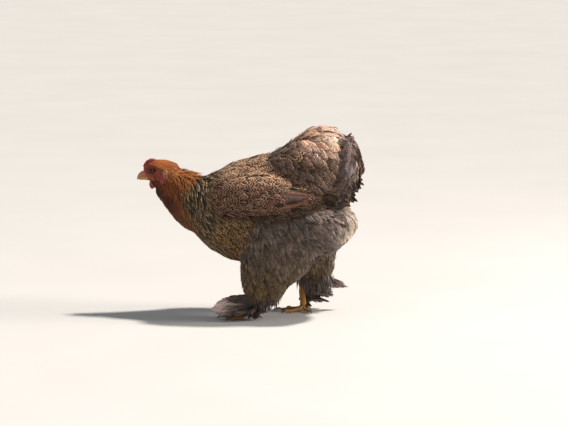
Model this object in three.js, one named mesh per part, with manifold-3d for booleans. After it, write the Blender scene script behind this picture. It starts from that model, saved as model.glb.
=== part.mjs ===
// A Brahma hen (gold partridge plumage), walking, life size, in millimetres.
// +Z is up, the hen faces -X, and its left side is at -Y. The solids are the true outer form of the
// plumage, so each one reaches to the tips of the feathers that it stands for.
// The origin is the centre of the model's footprint on the floor.

import * as THREE from "three";
import { mergeVertices } from "three/addons/utils/BufferGeometryUtils.js";
import Module from "manifold-3d";

const wasm = await Module();
wasm.setup();

// ---------------------------------------------------------------- driving dimensions

const GAP = 0.32; // clear space kept between two pieces that meet
const FLOOR_Z = 0; // the soles and the lowest feather tips stand here
const LEFT = -1;
const RIGHT = 1;

const HEAD_HALF_WIDTH = 18.5; // without ear lobes
const TRUNK_HALF_WIDTH = 82; // without wings
const WING_OUT = 106; // from the middle plane to the outside of the folded wing
const WING_LEAN = 0.28; // how far its upper edge leans in over the back, per unit of height
const TAIL_LEAN = 0.16; // the same for the two leaves of the tail
const CUSHION_HALF_WIDTH = 78;
const EYE_RADIUS = 6.4;
const SHANK_RADIUS = 6.2;
const TOE_RADIUS = 4.4;

const PLUME_TILT = 1.2; // how far a foot feather's broad face turns outwards from straight up

const HOCK = { left: [72, 54, 66], right: [99, 50, 88] };
const ANKLE = { left: [6, 55, 13], right: [102, 48, 13] };

// ---------------------------------------------------------------- curves and lofts

const LATERAL = new THREE.Vector3(0, 1, 0);
const vec = (p) => new THREE.Vector3(...p);

// A smooth curve through a few values, read at t from 0 to 1. A single number is a constant.
function through(values) {
  if (typeof values === "number") return () => values;
  const last = values.length - 1;
  return (t) => {
    const x = Math.min(Math.max(t, 0), 1) * last;
    const i = Math.min(Math.floor(x), last - 1);
    const f = x - i;
    const [a, b, c, d] = [-1, 0, 1, 2].map((k) => values[Math.min(Math.max(i + k, 0), last)]);
    return b + 0.5 * f * (c - a + f * (2 * a - 5 * b + 4 * c - d + f * (3 * (b - c) + d - a)));
  };
}

// How much of its full section a loft has at t: 1 in the middle, rounding to a point at both ends.
function roundedEnds(t, [first, second]) {
  const share = (distance, length) => {
    if (length <= 0 || distance >= length) return 1;
    return Math.sqrt(Math.max(0, 1 - (1 - distance / length) ** 2));
  };
  return share(t, first) * share(1 - t, second);
}

// A closed skin of rings along a spine. Each ring is a superellipse: `width` is its half width along
// `side`, `rise` its height above the spine and `drop` its depth below. `relief` may swell a ring.
function loft({
  spine,
  width,
  rise,
  drop = rise,
  power = 2,
  round = [0.25, 0.25],
  rings = 16,
  around = 22,
  side = LATERAL,
  relief = () => 0,
}) {
  const curve = new THREE.CatmullRomCurve3(spine.map(vec), false, "centripetal");
  const [w, up, down, sharp] = [width, rise, drop, power].map(through);
  const positions = [...curve.getPoint(0).toArray()];
  const above = new THREE.Vector3(0, 0, 1);
  for (let i = 1; i < rings; i++) {
    const t = 0.5 * (0.35 * (2 * i) / rings + 0.65 * (1 - Math.cos((Math.PI * i) / rings)));
    const centre = curve.getPoint(t);
    const along = curve.getTangent(t);
    const across = side.clone().addScaledVector(along, -side.dot(along)).normalize();
    const upright = new THREE.Vector3().crossVectors(along, across).normalize();
    above.copy(upright.dot(above) < 0 ? upright.negate() : upright); // it never flips between rings
    const size = roundedEnds(t, round);
    for (let k = 0; k < around; k++) {
      const turn = (2 * Math.PI * k) / around;
      const bend = (x) => Math.sign(x) * Math.abs(x) ** (2 / sharp(t));
      const [c, s] = [bend(Math.cos(turn)), bend(Math.sin(turn))];
      const swell = size * (1 + relief(turn, t));
      const point = centre.clone();
      point.addScaledVector(across, c * w(t) * swell);
      point.addScaledVector(above, s * (s > 0 ? up(t) : down(t)) * swell);
      positions.push(...point.toArray());
    }
  }
  positions.push(...curve.getPoint(1).toArray());
  return solidFrom(positions, ringFaces(rings - 1, around));
}

// The triangles that join one pole, `count` rings of `around` points, and the other pole.
function ringFaces(count, around) {
  const faces = [];
  const at = (ring, k) => 1 + ring * around + (k % around);
  const end = 1 + count * around;
  for (let k = 0; k < around; k++) {
    faces.push(0, at(0, k), at(0, k + 1));
    faces.push(end, at(count - 1, k + 1), at(count - 1, k));
    for (let ring = 0; ring < count - 1; ring++) {
      faces.push(at(ring, k), at(ring + 1, k), at(ring + 1, k + 1));
      faces.push(at(ring, k), at(ring + 1, k + 1), at(ring, k + 1));
    }
  }
  return faces;
}

// ---------------------------------------------------------------- solids

function solidFrom(positions, faces) {
  const make = (triVerts) =>
    new wasm.Manifold(
      new wasm.Mesh({
        numProp: 3,
        vertProperties: new Float32Array(positions),
        triVerts: new Uint32Array(triVerts),
      }),
    );
  const solid = make(faces);
  if (solid.volume() > 0) return solid;
  const turned = [];
  for (let i = 0; i < faces.length; i += 3) turned.push(faces[i], faces[i + 2], faces[i + 1]);
  return make(turned);
}

function solidOf(geometry) {
  const bare = geometry.clone();
  bare.deleteAttribute("normal");
  bare.deleteAttribute("uv");
  const merged = mergeVertices(bare, 1e-4);
  return solidFrom(merged.attributes.position.array, merged.index.array);
}

function geometryOf(solid) {
  const { numProp, numVert, vertProperties, triVerts } = solid.getMesh();
  const positions = new Float32Array(numVert * 3);
  for (let i = 0; i < numVert; i++) {
    positions.set(vertProperties.subarray(i * numProp, i * numProp + 3), i * 3);
  }
  return new THREE.BufferGeometry()
    .setAttribute("position", new THREE.BufferAttribute(positions, 3))
    .setIndex(new THREE.BufferAttribute(new Uint32Array(triVerts), 1));
}

// The same solid with its surface moved out by `distance`, for cutting a neighbour with a gap.
function grown(solid, distance = GAP) {
  const geometry = geometryOf(solid);
  geometry.computeVertexNormals();
  const { position, normal } = geometry.attributes;
  const moved = position.array.map((x, i) => x + distance * normal.array[i]);
  return solidFrom(moved, geometry.index.array);
}

// What is left of `solid` without the space of the cutters, and without crumbs.
function cutBy(solid, cutters) {
  const left = cutters.reduce((rest, cutter) => rest.subtract(cutter), solid);
  const bodies = left.decompose().sort((a, b) => b.volume() - a.volume());
  return bodies[0];
}

function join(solids) {
  return solids.reduce((sum, solid) => sum.add(solid));
}

const BELOW_FLOOR = solidOf(new THREE.BoxGeometry(2000, 2000, 200).translate(0, 0, FLOOR_Z - 100));
const BELOW_FEATHERS = solidOf(new THREE.BoxGeometry(2000, 2000, 200).translate(0, 0, FLOOR_Z - 99));

const onSide = (side, [x, y, z]) => [x, side * y, z];

// ---------------------------------------------------------------- head

function makeHead() {
  return loft({
    spine: [[-222, 0, 285], [-211, 0, 288], [-195, 0, 289], [-176, 0, 283], [-160, 0, 270]],
    width: [8, 13.5, HEAD_HALF_WIDTH, 21, 24],
    rise: [12, 21.5, 27, 33.5, 38],
    drop: [9, 17.5, 29, 38, 36],
    power: [2, 2.15, 2.2, 2.1, 2],
    round: [0.16, 0.1],
    rings: 10,
    around: 14,
  });
}

function makeUpperBeak() {
  return loft({
    spine: [[-213, 0, 285.5], [-222, 0, 285], [-230, 0, 280.5], [-234.5, 0, 272.2]],
    width: [8, 6.6, 4.2, 1.1],
    rise: [7.2, 6.6, 4.4, 1.1],
    drop: [5.5, 5.4, 3.6, 1],
    power: [2, 1.9, 1.8, 2],
    round: [0.02, 0.1],
    rings: 7,
    around: 10,
  });
}

function makeLowerBeak() {
  return loft({
    spine: [[-208, 0, 277], [-216, 0, 277], [-224, 0, 275.4], [-230.5, 0, 272.6]],
    width: [7.4, 6, 4, 1],
    rise: [5, 4.6, 3.4, 1],
    drop: [6, 5, 3.4, 0.9],
    round: [0.02, 0.1],
    rings: 6,
    around: 8,
  });
}

// A pea comb: three low ridges side by side, the middle one tallest, each a row of small beads.
function makeComb() {
  const ridge = (y, height, start) =>
    loft({
      spine: [[start, y, 296], [-216, y * 1.15, 306], [-207, y * 1.1, 312.5], [-195, y * 0.7, 315.5]],
      width: [2.2, 2.7, 2.7, 2.0],
      rise: [height * 0.55, height, height, height * 0.5],
      drop: 5,
      round: [0.18, 0.22],
      rings: 6,
      around: 6,
      relief: (turn, t) => 0.13 * Math.sin(t * 6 * Math.PI) * Math.max(0, Math.sin(turn)),
    });
  return [ridge(0, 4.2, -221.5), ridge(-4.2, 2.8, -219.5), ridge(4.2, 2.8, -219.5)];
}

function makeEye(side) {
  const ball = new THREE.SphereGeometry(EYE_RADIUS, 8, 6);
  ball.rotateX(Math.PI / 2).rotateZ(0.18 * side);
  ball.translate(-201.5, side * (HEAD_HALF_WIDTH - 6.9), 294.5);
  return solidOf(ball);
}

function makeEarlobe(side) {
  const place = [[-177, 19.5, 293], [-175.5, 22.2, 284], [-176.5, 22.5, 273], [-178.5, 20.5, 265]];
  return loft({
    spine: place.map((p) => onSide(side, p)),
    width: [2.4, 3.2, 3.4, 2.4],
    rise: [3.2, 5, 5.6, 3.4],
    round: [0.35, 0.4],
    rings: 6,
    around: 7,
  });
}

function makeWattle(side) {
  const place = [[-206, 8, 271], [-203, 9.6, 266], [-201.5, 9.8, 260], [-202.5, 8.6, 255]];
  return loft({
    spine: place.map((p) => onSide(side, p)),
    width: [1.6, 2, 2.2, 1.6],
    rise: [3.6, 5.2, 5.6, 3.6],
    round: [0.3, 0.45],
    rings: 6,
    around: 6,
  });
}

// ---------------------------------------------------------------- neck, trunk, tail and wings

// The hackle falls in a cape, so the neck widens towards the shoulders.
function makeNeck() {
  return loft({
    spine: [[-180, 0, 279], [-160, 0, 264], [-128, 0, 241], [-96, 0, 226], [-66, 0, 221]],
    width: [22, 29, 46, 65, 72],
    rise: [32, 39, 51, 63, 66],
    drop: [34, 42, 56, 66, 62],
    power: 2.1,
    round: [0.1, 0.18],
    rings: 8,
    around: 14,
  });
}

function makeTrunk() {
  return loft({
    spine: [[-152, 0, 196], [-105, 0, 211], [-45, 0, 214], [35, 0, 214], [110, 0, 214], [190, 0, 206]],
    width: [34, 62, TRUNK_HALF_WIDTH, 92, 90, 66],
    rise: [30, 58, 96, 119, 112, 60],
    drop: [26, 66, 102, 109, 104, 66],
    power: [2, 2.1, 2.2, 2.25, 2.2, 2.1],
    round: [0.16, 0.2],
    rings: 9,
    around: 16,
  });
}

// The soft fluff of the abdomen, a full ball below the tail.
function makeFluff() {
  return loft({
    spine: [[40, 0, 184], [92, 0, 188], [140, 0, 190], [184, 0, 190], [223, 0, 192]],
    width: [78, 97, 98, 86, 48],
    rise: [34, 52, 58, 50, 28],
    drop: [40, 62, 68, 50, 24],
    power: 2.2,
    round: [0.2, 0.34],
    rings: 9,
    around: 14,
  });
}

// The cushion of saddle feathers and tail coverts: a high ball, narrowing to the back in front.
function makeCushion() {
  return loft({
    spine: [[22, 0, 318], [64, 0, 306], [112, 0, 300], [156, 0, 295], [196, 0, 288]],
    width: [52, 72, CUSHION_HALF_WIDTH, 75, 56],
    rise: [16, 46, 86, 95, 74],
    drop: [18, 44, 66, 72, 58],
    power: [2, 2.05, 2.1, 2.1, 2],
    round: [0.14, 0.16],
    rings: 10,
    around: 14,
  });
}

// The tail proper stands behind the cushion: two leaves of broad feathers that lean together at the
// top and open towards the rear, with dark fluff between them.
function makeTail() {
  const leaf = (side) =>
    loft({
      spine: [[144, side * 20, 290], [174, side * 34, 290], [204, side * 42, 288], [228, side * 42, 284]],
      width: [5, 9, 9, 5],
      rise: [70, 84, 76, 32],
      drop: [52, 62, 66, 62],
      round: [0.16, 0.5],
      rings: 9,
      around: 10,
      side: new THREE.Vector3(0, 1, side * TAIL_LEAN),
    });
  const core = loft({
    spine: [[150, 0, 292], [184, 0, 290], [216, 0, 286]],
    width: [30, 44, 36],
    rise: [40, 62, 46],
    drop: [40, 50, 38],
    round: [0.2, 0.4],
    rings: 6,
    around: 10,
  });
  return [core, leaf(LEFT), leaf(RIGHT)];
}

// The folded wing, whose rear end tucks under the cushion. Its lower edge is stepped by the tips of
// the coverts and of the long quills.
function makeWing(side) {
  const y = (inset) => side * (WING_OUT - inset);
  return loft({
    spine: [
      [-80, y(34), 242],
      [-46, y(23), 252],
      [0, y(17), 257],
      [52, y(17), 258],
      [104, y(25), 256],
      [154, y(40), 256],
    ],
    width: [9, 16, 17, 16, 13, 7],
    rise: [24, 42, 50, 46, 30, 14],
    drop: [26, 42, 46, 40, 24, 10],
    power: 2.15,
    round: [0.2, 0.18],
    rings: 9,
    around: 12,
    side: new THREE.Vector3(0, 1, side * WING_LEAN),
    relief: (turn, t) => 0.035 * Math.max(0, -Math.sin(turn)) * Math.sin(t * 9 * Math.PI),
  });
}

// ---------------------------------------------------------------- legs

// The feathered thigh hangs from the hip to the hock like a full bag.
function makeLeftThigh() {
  return loft({
    spine: [[104, -48, 226], [86, -53, 184], [66, -56, 140], [46, -58, 100], [40, -58, 68], [42, -58, 34]],
    width: [28, 43, 45, 41, 35, 28],
    rise: [40, 76, 76, 61, 46, 43],
    power: 2.15,
    round: [0.18, 0.12],
    rings: 9,
    around: 12,
  });
}

function makeRightThigh() {
  return loft({
    spine: [[104, 47, 222], [108, 52, 176], [115, 56, 136], [126, 57, 98], [136, 56, 54]],
    width: [28, 43, 43, 38, 26],
    rise: [40, 66, 58, 44, 30],
    power: 2.15,
    round: [0.18, 0.24],
    rings: 8,
    around: 12,
  });
}

function makeShank(side, hock, ankle) {
  const [top, foot] = [vec(onSide(side, hock)), vec(onSide(side, ankle))];
  const at = (share, dx = 0) => {
    const p = top.clone().lerp(foot, share);
    return [p.x + dx, p.y, p.z];
  };
  return loft({
    spine: [at(-0.1), at(0.08, 1), at(0.45), at(0.8), at(1.04)],
    width: [SHANK_RADIUS * 1.3, SHANK_RADIUS * 1.25, SHANK_RADIUS * 0.9, SHANK_RADIUS, SHANK_RADIUS * 1.5],
    rise: [SHANK_RADIUS * 1.4, SHANK_RADIUS * 1.3, SHANK_RADIUS, SHANK_RADIUS * 1.1, SHANK_RADIUS * 1.3],
    round: [0.08, 0.12],
    rings: 7,
    around: 8,
  });
}

// One toe: a row of pads from the ankle to the claw, flat underneath where it meets the floor.
function makeToe(side, ankle, { turn, length, radius, lift = 0 }) {
  const heading = THREE.MathUtils.degToRad(turn);
  const along = new THREE.Vector3(-Math.cos(heading), side * Math.sin(heading), 0);
  const foot = vec(onSide(side, ankle));
  const at = (share, z) => {
    const p = foot.clone().addScaledVector(along, share * length);
    return [p.x, p.y, z];
  };
  const across = new THREE.Vector3(0, 0, 1).cross(along).normalize();
  const toe = loft({
    spine: [at(0, ankle[2] - 2 + lift), at(0.25, radius + 2.6), at(0.6, radius + 0.4), at(0.84, radius + 0.2)],
    width: [radius * 1.15, radius * 1.05, radius * 0.95, radius * 0.75],
    rise: [radius * 1.1, radius, radius * 0.9, radius * 0.7],
    drop: [radius * 1.2, radius * 1.2, radius + 1.6, radius + 0.7],
    round: [0.1, 0.14],
    rings: 6,
    around: 7,
    side: across,
    relief: (angle, t) => 0.07 * Math.cos(t * 6 * Math.PI),
  });
  const claw = loft({
    spine: [at(0.8, radius * 1.35), at(0.92, radius * 1.35), at(1.02, radius * 0.8), at(1.07, 0.9)],
    width: [radius * 0.5, radius * 0.42, radius * 0.28, 0.5],
    rise: [radius * 0.55, radius * 0.5, radius * 0.32, 0.5],
    round: [0.05, 0.12],
    rings: 4,
    around: 5,
    side: across,
  });
  return { toe, claw };
}

// One long feather as a thin curved blade from root to tip; `sag` bows it sideways in the middle.
function blade({ root, tip, width, thickness, sag = 0, side }) {
  const [a, b] = [vec(root), vec(tip)];
  const at = (share) => {
    const bow = side.clone().multiplyScalar(sag * Math.sin(Math.PI * share));
    return a.clone().lerp(b, share).add(bow).toArray();
  };
  return loft({
    spine: [at(0), at(0.33), at(0.7), at(1)],
    width: thickness / 2,
    rise: [width * 0.3, width * 0.85, width, width * 0.72],
    round: [0.1, 0.34],
    rings: 5,
    around: 4,
    side,
  });
}

// The long feathers on the outer side of a shank and foot. They fan out from two sleeves, along the
// shank and along the middle toe; `from` is where they leave them, 0 at the hock, 1 at the ankle and
// 2 at the toe's end. `spread` turns the tips from straight ahead (0) outwards (90) and back (180).
function makeFootFeathers(side, { hock, ankle, fan }) {
  const outward = side * (SHANK_RADIUS + 1);
  const [top, foot] = [vec(onSide(side, hock)), vec(onSide(side, ankle))];
  const toeEnd = foot.clone().add(new THREE.Vector3(-46, 0, -2));
  const along = (share) => {
    const p = share < 1 ? top.clone().lerp(foot, share) : foot.clone().lerp(toeEnd, share - 1);
    p.y += outward;
    p.z = Math.max(p.z, 11);
    return p;
  };
  const sleeve = (shares, size) =>
    loft({
      spine: shares.map((share) => along(share).toArray()),
      width: [size, size * 1.2, size],
      rise: [size * 1.2, size * 1.6, size * 1.1],
      round: [0.25, 0.25],
      rings: 4,
      around: 6,
    });
  const [from, spread, reach, tipHeight] = [fan.from, fan.spread, fan.reach, fan.tipHeight].map(through);
  const plumes = Array.from({ length: fan.count }, (_, i) => {
    const t = i / (fan.count - 1);
    const heading = THREE.MathUtils.degToRad(spread(t));
    const root = along(from(t));
    const tip = root.clone();
    tip.x -= reach(t) * Math.cos(heading);
    tip.y += side * reach(t) * Math.sin(heading);
    tip.z = tipHeight(t);
    const broadFace = new THREE.Vector3(0, side * PLUME_TILT, 1);
    return blade({
      root: root.toArray(),
      tip: tip.toArray(),
      width: fan.halfWidth,
      thickness: 5,
      sag: 4,
      side: broadFace,
    });
  });
  return [sleeve([0.1, 0.5, 0.95], 7.5), sleeve([0.9, 1.25, 1.6], 6.5), ...plumes].map((piece) =>
    piece.subtract(BELOW_FEATHERS),
  );
}

// ---------------------------------------------------------------- the whole hen

const PLUMAGE = {
  gold: { color: 0xb9672c, roughness: 0.75 },
  hackle: { color: 0x8a5a2c, roughness: 0.75 },
  pencilled: { color: 0x6b5342, roughness: 0.8 },
  cushion: { color: 0x6f5a48, roughness: 0.8 },
  tail: { color: 0x5c4d44, roughness: 0.8 },
  fluff: { color: 0x62554c, roughness: 0.9 },
  footFeather: { color: 0x54473f, roughness: 0.85 },
};
const BARE = {
  redSkin: { color: 0x9a3526, roughness: 0.6 },
  horn: { color: 0xb98a48, roughness: 0.45 },
  legScale: { color: 0xc9872b, roughness: 0.55 },
  claw: { color: 0xa88a5c, roughness: 0.4 },
  eye: { color: 0x5a2c12, roughness: 0.1 },
};

const hen = new THREE.Group();
const cutters = [BELOW_FLOOR]; // then the space of the pieces placed so far, with the gap round them

// Pieces are placed in order, and each one makes room for all the pieces before it. A piece may be
// made of several solids, which are joined into one.
function place(name, made, finish) {
  const solids = [made].flat();
  const shape = geometryOf(cutBy(join(solids), cutters));
  const mesh = new THREE.Mesh(shape, new THREE.MeshStandardMaterial({ ...finish, metalness: 0 }));
  mesh.name = name;
  hen.add(mesh);
  cutters.push(...solids.map((solid) => grown(solid)));
}

const TOES = {
  left: {
    middle: { turn: 3, length: 60, radius: TOE_RADIUS },
    inner: { turn: -38, length: 46, radius: TOE_RADIUS * 0.92 },
    outer: { turn: 40, length: 50, radius: TOE_RADIUS * 0.9 },
    back: { turn: 196, length: 27, radius: TOE_RADIUS * 0.8 },
  },
  right: {
    middle: { turn: 0, length: 60, radius: TOE_RADIUS },
    inner: { turn: -36, length: 46, radius: TOE_RADIUS * 0.92 },
    outer: { turn: 38, length: 50, radius: TOE_RADIUS * 0.9 },
    back: { turn: 222, length: 27, radius: TOE_RADIUS * 0.8 },
  },
};

const FANS = {
  left: {
    count: 7,
    halfWidth: 12,
    from: [0.35, 0.8, 1.3, 1.4, 1.2, 0.95, 0.6],
    spread: [4, 12, 24, 46, 74, 104, 140],
    reach: [112, 92, 60, 52, 44, 36, 24],
    tipHeight: [32, 23, 16, 13, 13, 13, 24],
  },
  right: {
    count: 7,
    halfWidth: 16,
    from: [1.3, 1.05, 0.85, 0.6, 0.3, 0.35],
    spread: [40, 74, 110, 142, 164, 158],
    reach: [22, 30, 52, 58, 62, 98],
    tipHeight: [18, 17, 11, 12, 24, 46],
  },
};

function placeLowerLeg(name, side) {
  const [hock, ankle] = [HOCK[name], ANKLE[name]];
  place(`shank_${name}`, makeShank(side, hock, ankle), BARE.legScale);
  for (const [toeName, shape] of Object.entries(TOES[name])) {
    const { toe, claw } = makeToe(side, ankle, shape);
    place(`toe_${toeName}_${name}`, toe, BARE.legScale);
    place(`claw_${toeName}_${name}`, claw, BARE.claw);
  }
  const feathers = makeFootFeathers(side, { hock, ankle, fan: FANS[name] });
  place(`foot_feathers_${name}`, feathers, PLUMAGE.footFeather);
}

const SIDES = { left: LEFT, right: RIGHT };

place("beak_upper", makeUpperBeak(), BARE.horn);
place("beak_lower", makeLowerBeak(), BARE.horn);
for (const [name, side] of Object.entries(SIDES)) place(`eye_${name}`, makeEye(side), BARE.eye);
place("head", makeHead(), PLUMAGE.gold);
place("comb", makeComb(), BARE.redSkin);
for (const [name, side] of Object.entries(SIDES)) {
  place(`wattle_${name}`, makeWattle(side), BARE.redSkin);
  place(`earlobe_${name}`, makeEarlobe(side), BARE.redSkin);
}
place("neck", makeNeck(), PLUMAGE.hackle);
place("tail", makeTail(), PLUMAGE.tail);
place("cushion", makeCushion(), PLUMAGE.cushion);
for (const [name, side] of Object.entries(SIDES)) place(`wing_${name}`, makeWing(side), PLUMAGE.pencilled);
place("thigh_left", makeLeftThigh(), PLUMAGE.fluff);
place("thigh_right", makeRightThigh(), PLUMAGE.fluff);
for (const [name, side] of Object.entries(SIDES)) placeLowerLeg(name, side);
place("fluff", makeFluff(), PLUMAGE.fluff);
place("trunk", makeTrunk(), PLUMAGE.pencilled);

// The origin goes to the middle of the footprint.
const extent = new THREE.Box3().setFromObject(hen);
const middle = extent.getCenter(new THREE.Vector3());
hen.position.set(-middle.x, -middle.y, -extent.min.z);

export default hen;
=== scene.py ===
"""A Brahma hen in gold partridge plumage, walking. Metres, +Z up; it faces -X and its left is at -Y.

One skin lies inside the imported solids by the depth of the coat, and every feather is a thin closed
vane that grows from it along the lie of the coat. Head, legs and feet are finished round the frame.
"""

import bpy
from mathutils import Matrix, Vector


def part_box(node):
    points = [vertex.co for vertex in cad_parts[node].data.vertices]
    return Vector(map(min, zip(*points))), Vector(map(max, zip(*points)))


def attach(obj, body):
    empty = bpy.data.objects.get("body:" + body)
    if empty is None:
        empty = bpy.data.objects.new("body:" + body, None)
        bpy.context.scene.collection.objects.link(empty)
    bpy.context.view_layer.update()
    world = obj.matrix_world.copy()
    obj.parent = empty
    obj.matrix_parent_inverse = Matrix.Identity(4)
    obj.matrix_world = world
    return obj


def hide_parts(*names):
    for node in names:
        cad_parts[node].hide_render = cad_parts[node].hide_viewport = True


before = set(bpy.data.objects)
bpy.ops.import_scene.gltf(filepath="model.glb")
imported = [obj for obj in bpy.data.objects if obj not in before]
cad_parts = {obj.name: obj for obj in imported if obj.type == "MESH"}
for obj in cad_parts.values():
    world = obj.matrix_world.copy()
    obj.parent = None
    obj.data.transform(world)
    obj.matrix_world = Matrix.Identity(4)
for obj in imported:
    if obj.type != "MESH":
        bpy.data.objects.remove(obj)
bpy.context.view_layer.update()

import math
from contextlib import contextmanager

import bmesh
import bpy
import numpy as np
from mathutils import Vector
from mathutils.bvhtree import BVHTree

MM = 0.001
SIDES = {"left": -1, "right": 1}
TOES = ("middle", "inner", "outer", "back")
UP = np.array([0.0, 0.0, 1.0])
ROOT_SUNK = 0.6 * MM  # how deep a feather's root sits in the skin
BAKE_PATCH = 0.003  # the width of a feather's patch on the unwrap of the skin


# ------------------------------------------------------------------ small tools


def rgb(code):
    """The linear colour of a hexadecimal one."""
    parts = [int(code[i : i + 2], 16) / 255 for i in (0, 2, 4)]
    return np.array([c / 12.92 if c <= 0.04045 else ((c + 0.055) / 1.055) ** 2.4 for c in parts])


def unit(v):
    return v / np.maximum(np.linalg.norm(v, axis=-1, keepdims=True), 1e-12)


def flat(v, normals):
    """Unit vectors of what is left of v without its part along the normals."""
    return unit(v - normals * (v * normals).sum(1, keepdims=True))


def ramp(x, low, high):
    """0 below low, 1 above high, smooth between."""
    t = np.clip((x - low) / (high - low), 0, 1)
    return t * t * (3 - 2 * t)


def fall(x, low, high):
    """1 below low, 0 above high, smooth between."""
    return 1 - ramp(x, low, high)


def within(x, low, high):
    """Where x is between low and high."""
    return (x > low) & (x < high)


def bell(*x):
    """1 where every x is 0, and less the further they are from it."""
    return np.exp(-sum(value**2 for value in x))


def cad_mesh(node):
    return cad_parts[node].data


def centre(node):
    low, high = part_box(node)
    return np.array((low + high) / 2)


def corners(node):
    return [np.array(c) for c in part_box(node)]


def new_object(name, mesh):
    obj = bpy.data.objects.new(name, mesh)
    bpy.context.scene.collection.objects.link(obj)
    return obj


def read(items, field, kind=float, width=3):
    """A property of all items of a mesh, one row of `width` values each."""
    values = np.empty(len(items) * width, kind)
    items.foreach_get(field, values)
    return values.reshape(-1, width)


def coordinates(mesh):
    return read(mesh.vertices, "co")


def normals_of(mesh):
    return read(mesh.vertex_normals, "vector")


def move_vertices(mesh, co):
    mesh.vertices.foreach_set("co", co.ravel())
    mesh.update()


def neighbour_sums(mesh, values):
    """For each vertex, the sum of the values of the vertices that it shares an edge with."""
    a, b = read(mesh.edges, "vertices", int, 2).T
    ends, others = np.r_[a, b], np.r_[b, a]
    return np.stack([np.bincount(ends, column[others], len(values)) for column in values.T], 1)


def smoothed(mesh, times, strength=0.5):
    """Vertex places after moving each one towards the mean of its neighbours."""
    co = coordinates(mesh)
    around = np.maximum(neighbour_sums(mesh, np.ones((len(co), 1))), 1)
    for _ in range(times):
        co += strength * (neighbour_sums(mesh, co) / around - co)
    return co


@contextmanager
def edited(mesh):
    """The mesh as a bmesh, written back at the end."""
    bm = bmesh.new()
    bm.from_mesh(mesh)
    yield bm
    bm.to_mesh(mesh)
    bm.free()


def largest_island(mesh):
    """Drops every closed shell of a mesh but the largest."""
    with edited(mesh) as bm:
        left, keep = set(bm.verts), set()
        while left:
            island, queue = set(), [left.pop()]
            while queue:
                vertex = queue.pop()
                island.add(vertex)
                fresh = {edge.other_vert(vertex) for edge in vertex.link_edges} & left
                left -= fresh
                queue.extend(fresh)
            keep = max(keep, island, key=len)
        bmesh.ops.delete(bm, geom=[v for v in bm.verts if v not in keep], context="VERTS")


def voxel_skin(name, grow, voxel, rounds):
    """One closed, even mesh round copies of CAD nodes, each grown by its own amount to meet the next."""
    mesh = bpy.data.meshes.new(name)
    with edited(mesh) as whole:
        for node, amount in grow.items():
            part = cad_mesh(node).copy()
            with edited(part) as bm:
                bmesh.ops.remove_doubles(bm, verts=bm.verts, dist=0.01 * MM)
                bm.normal_update()
                for vertex in bm.verts:
                    vertex.co += vertex.normal * amount
            whole.from_mesh(part)
            bpy.data.meshes.remove(part)
    obj = new_object(name, mesh)
    remesh = obj.modifiers.new("voxels", "REMESH")
    remesh.mode, remesh.voxel_size = "VOXEL", voxel
    made = bpy.data.meshes.new_from_object(obj.evaluated_get(bpy.context.evaluated_depsgraph_get()))
    obj.modifiers.clear()
    obj.data = made
    bpy.data.meshes.remove(mesh)
    largest_island(made)
    move_vertices(made, smoothed(made, rounds))
    return obj


def tree_of(*nodes):
    """The surface of these CAD nodes, for finding nearest points."""
    bm = bmesh.new()
    for node in nodes:
        bm.from_mesh(cad_mesh(node))
    tree = BVHTree.FromBMesh(bm)
    bm.free()
    return tree


class Surface:
    """A mesh to grow feathers on: nearest points with smooth normals, scattered roots, blended values."""

    def __init__(self, mesh):
        mesh.calc_loop_triangles()
        self.co = coordinates(mesh)
        self.normal = normals_of(mesh)
        self.tris = read(mesh.loop_triangles, "vertices", int)
        self.tree = BVHTree.FromPolygons(self.co.tolist(), self.tris.tolist())
        a, b, c = (self.co[self.tris[:, k]] for k in range(3))
        self.area = np.linalg.norm(np.cross(b - a, c - a), axis=1) / 2

    def nearest(self, points):
        """Nearest places, the normals there, and the triangles with the places' shares of their corners."""
        found = [self.tree.find_nearest(Vector(p)) for p in points]
        place = np.array([f[0] for f in found])
        tri = np.array([f[2] for f in found])
        a, b, c = (self.co[self.tris[tri, k]] for k in range(3))
        ab, ac, ap = b - a, c - a, place - a
        d00, d01, d11 = (ab * ab).sum(1), (ab * ac).sum(1), (ac * ac).sum(1)
        d20, d21 = (ap * ab).sum(1), (ap * ac).sum(1)
        size = np.maximum(d00 * d11 - d01 * d01, 1e-20)
        v, w = (d11 * d20 - d01 * d21) / size, (d00 * d21 - d01 * d20) / size
        share = np.stack([1 - v - w, v, w], 1)
        return place, unit(self.blend(self.normal, tri, share)), (tri, share)

    def blend(self, values, tri, share):
        return np.einsum("nk,nk...->n...", share, values[self.tris[tri]])

    def scatter(self, wanted, spacing, seed):
        """Roots `spacing` apart (a value per vertex) wherever `wanted` holds."""
        dice = np.random.default_rng(seed)
        density = self.area * (wanted[self.tris].sum(1) > 1) / spacing[self.tris].mean(1) ** 2
        tries = int(7 * density.sum())
        tri = dice.choice(len(density), tries, p=density / density.sum())
        v, w = dice.random((2, tries))
        over = v + w > 1
        v[over], w[over] = 1 - v[over], 1 - w[over]
        share = np.stack([1 - v - w, v, w], 1)
        place, reach = self.blend(self.co, tri, share), self.blend(spacing, tri, share)
        taken, kept = {}, []
        near = [(i, j, k) for i in (-1, 0, 1) for j in (-1, 0, 1) for k in (-1, 0, 1)]
        cells = np.floor(place / float(reach.max())).astype(int).tolist()
        for n, ((x, y, z), p, r) in enumerate(zip(cells, place.tolist(), reach)):
            others = (q for i, j, k in near for q in taken.get((x + i, y + j, z + k), ()))
            if all((p[0] - q[0]) ** 2 + (p[1] - q[1]) ** 2 + (p[2] - q[2]) ** 2 > r * r for q in others):
                taken.setdefault((x, y, z), []).append(p)
                kept.append(n)
        return place[kept], (tri[kept], share[kept])


def colour_layer(mesh, name, values):
    layer = mesh.attributes.new(name, "FLOAT_COLOR", "POINT")
    layer.data.foreach_set("color", np.c_[values, np.ones(len(values))].ravel())


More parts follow.
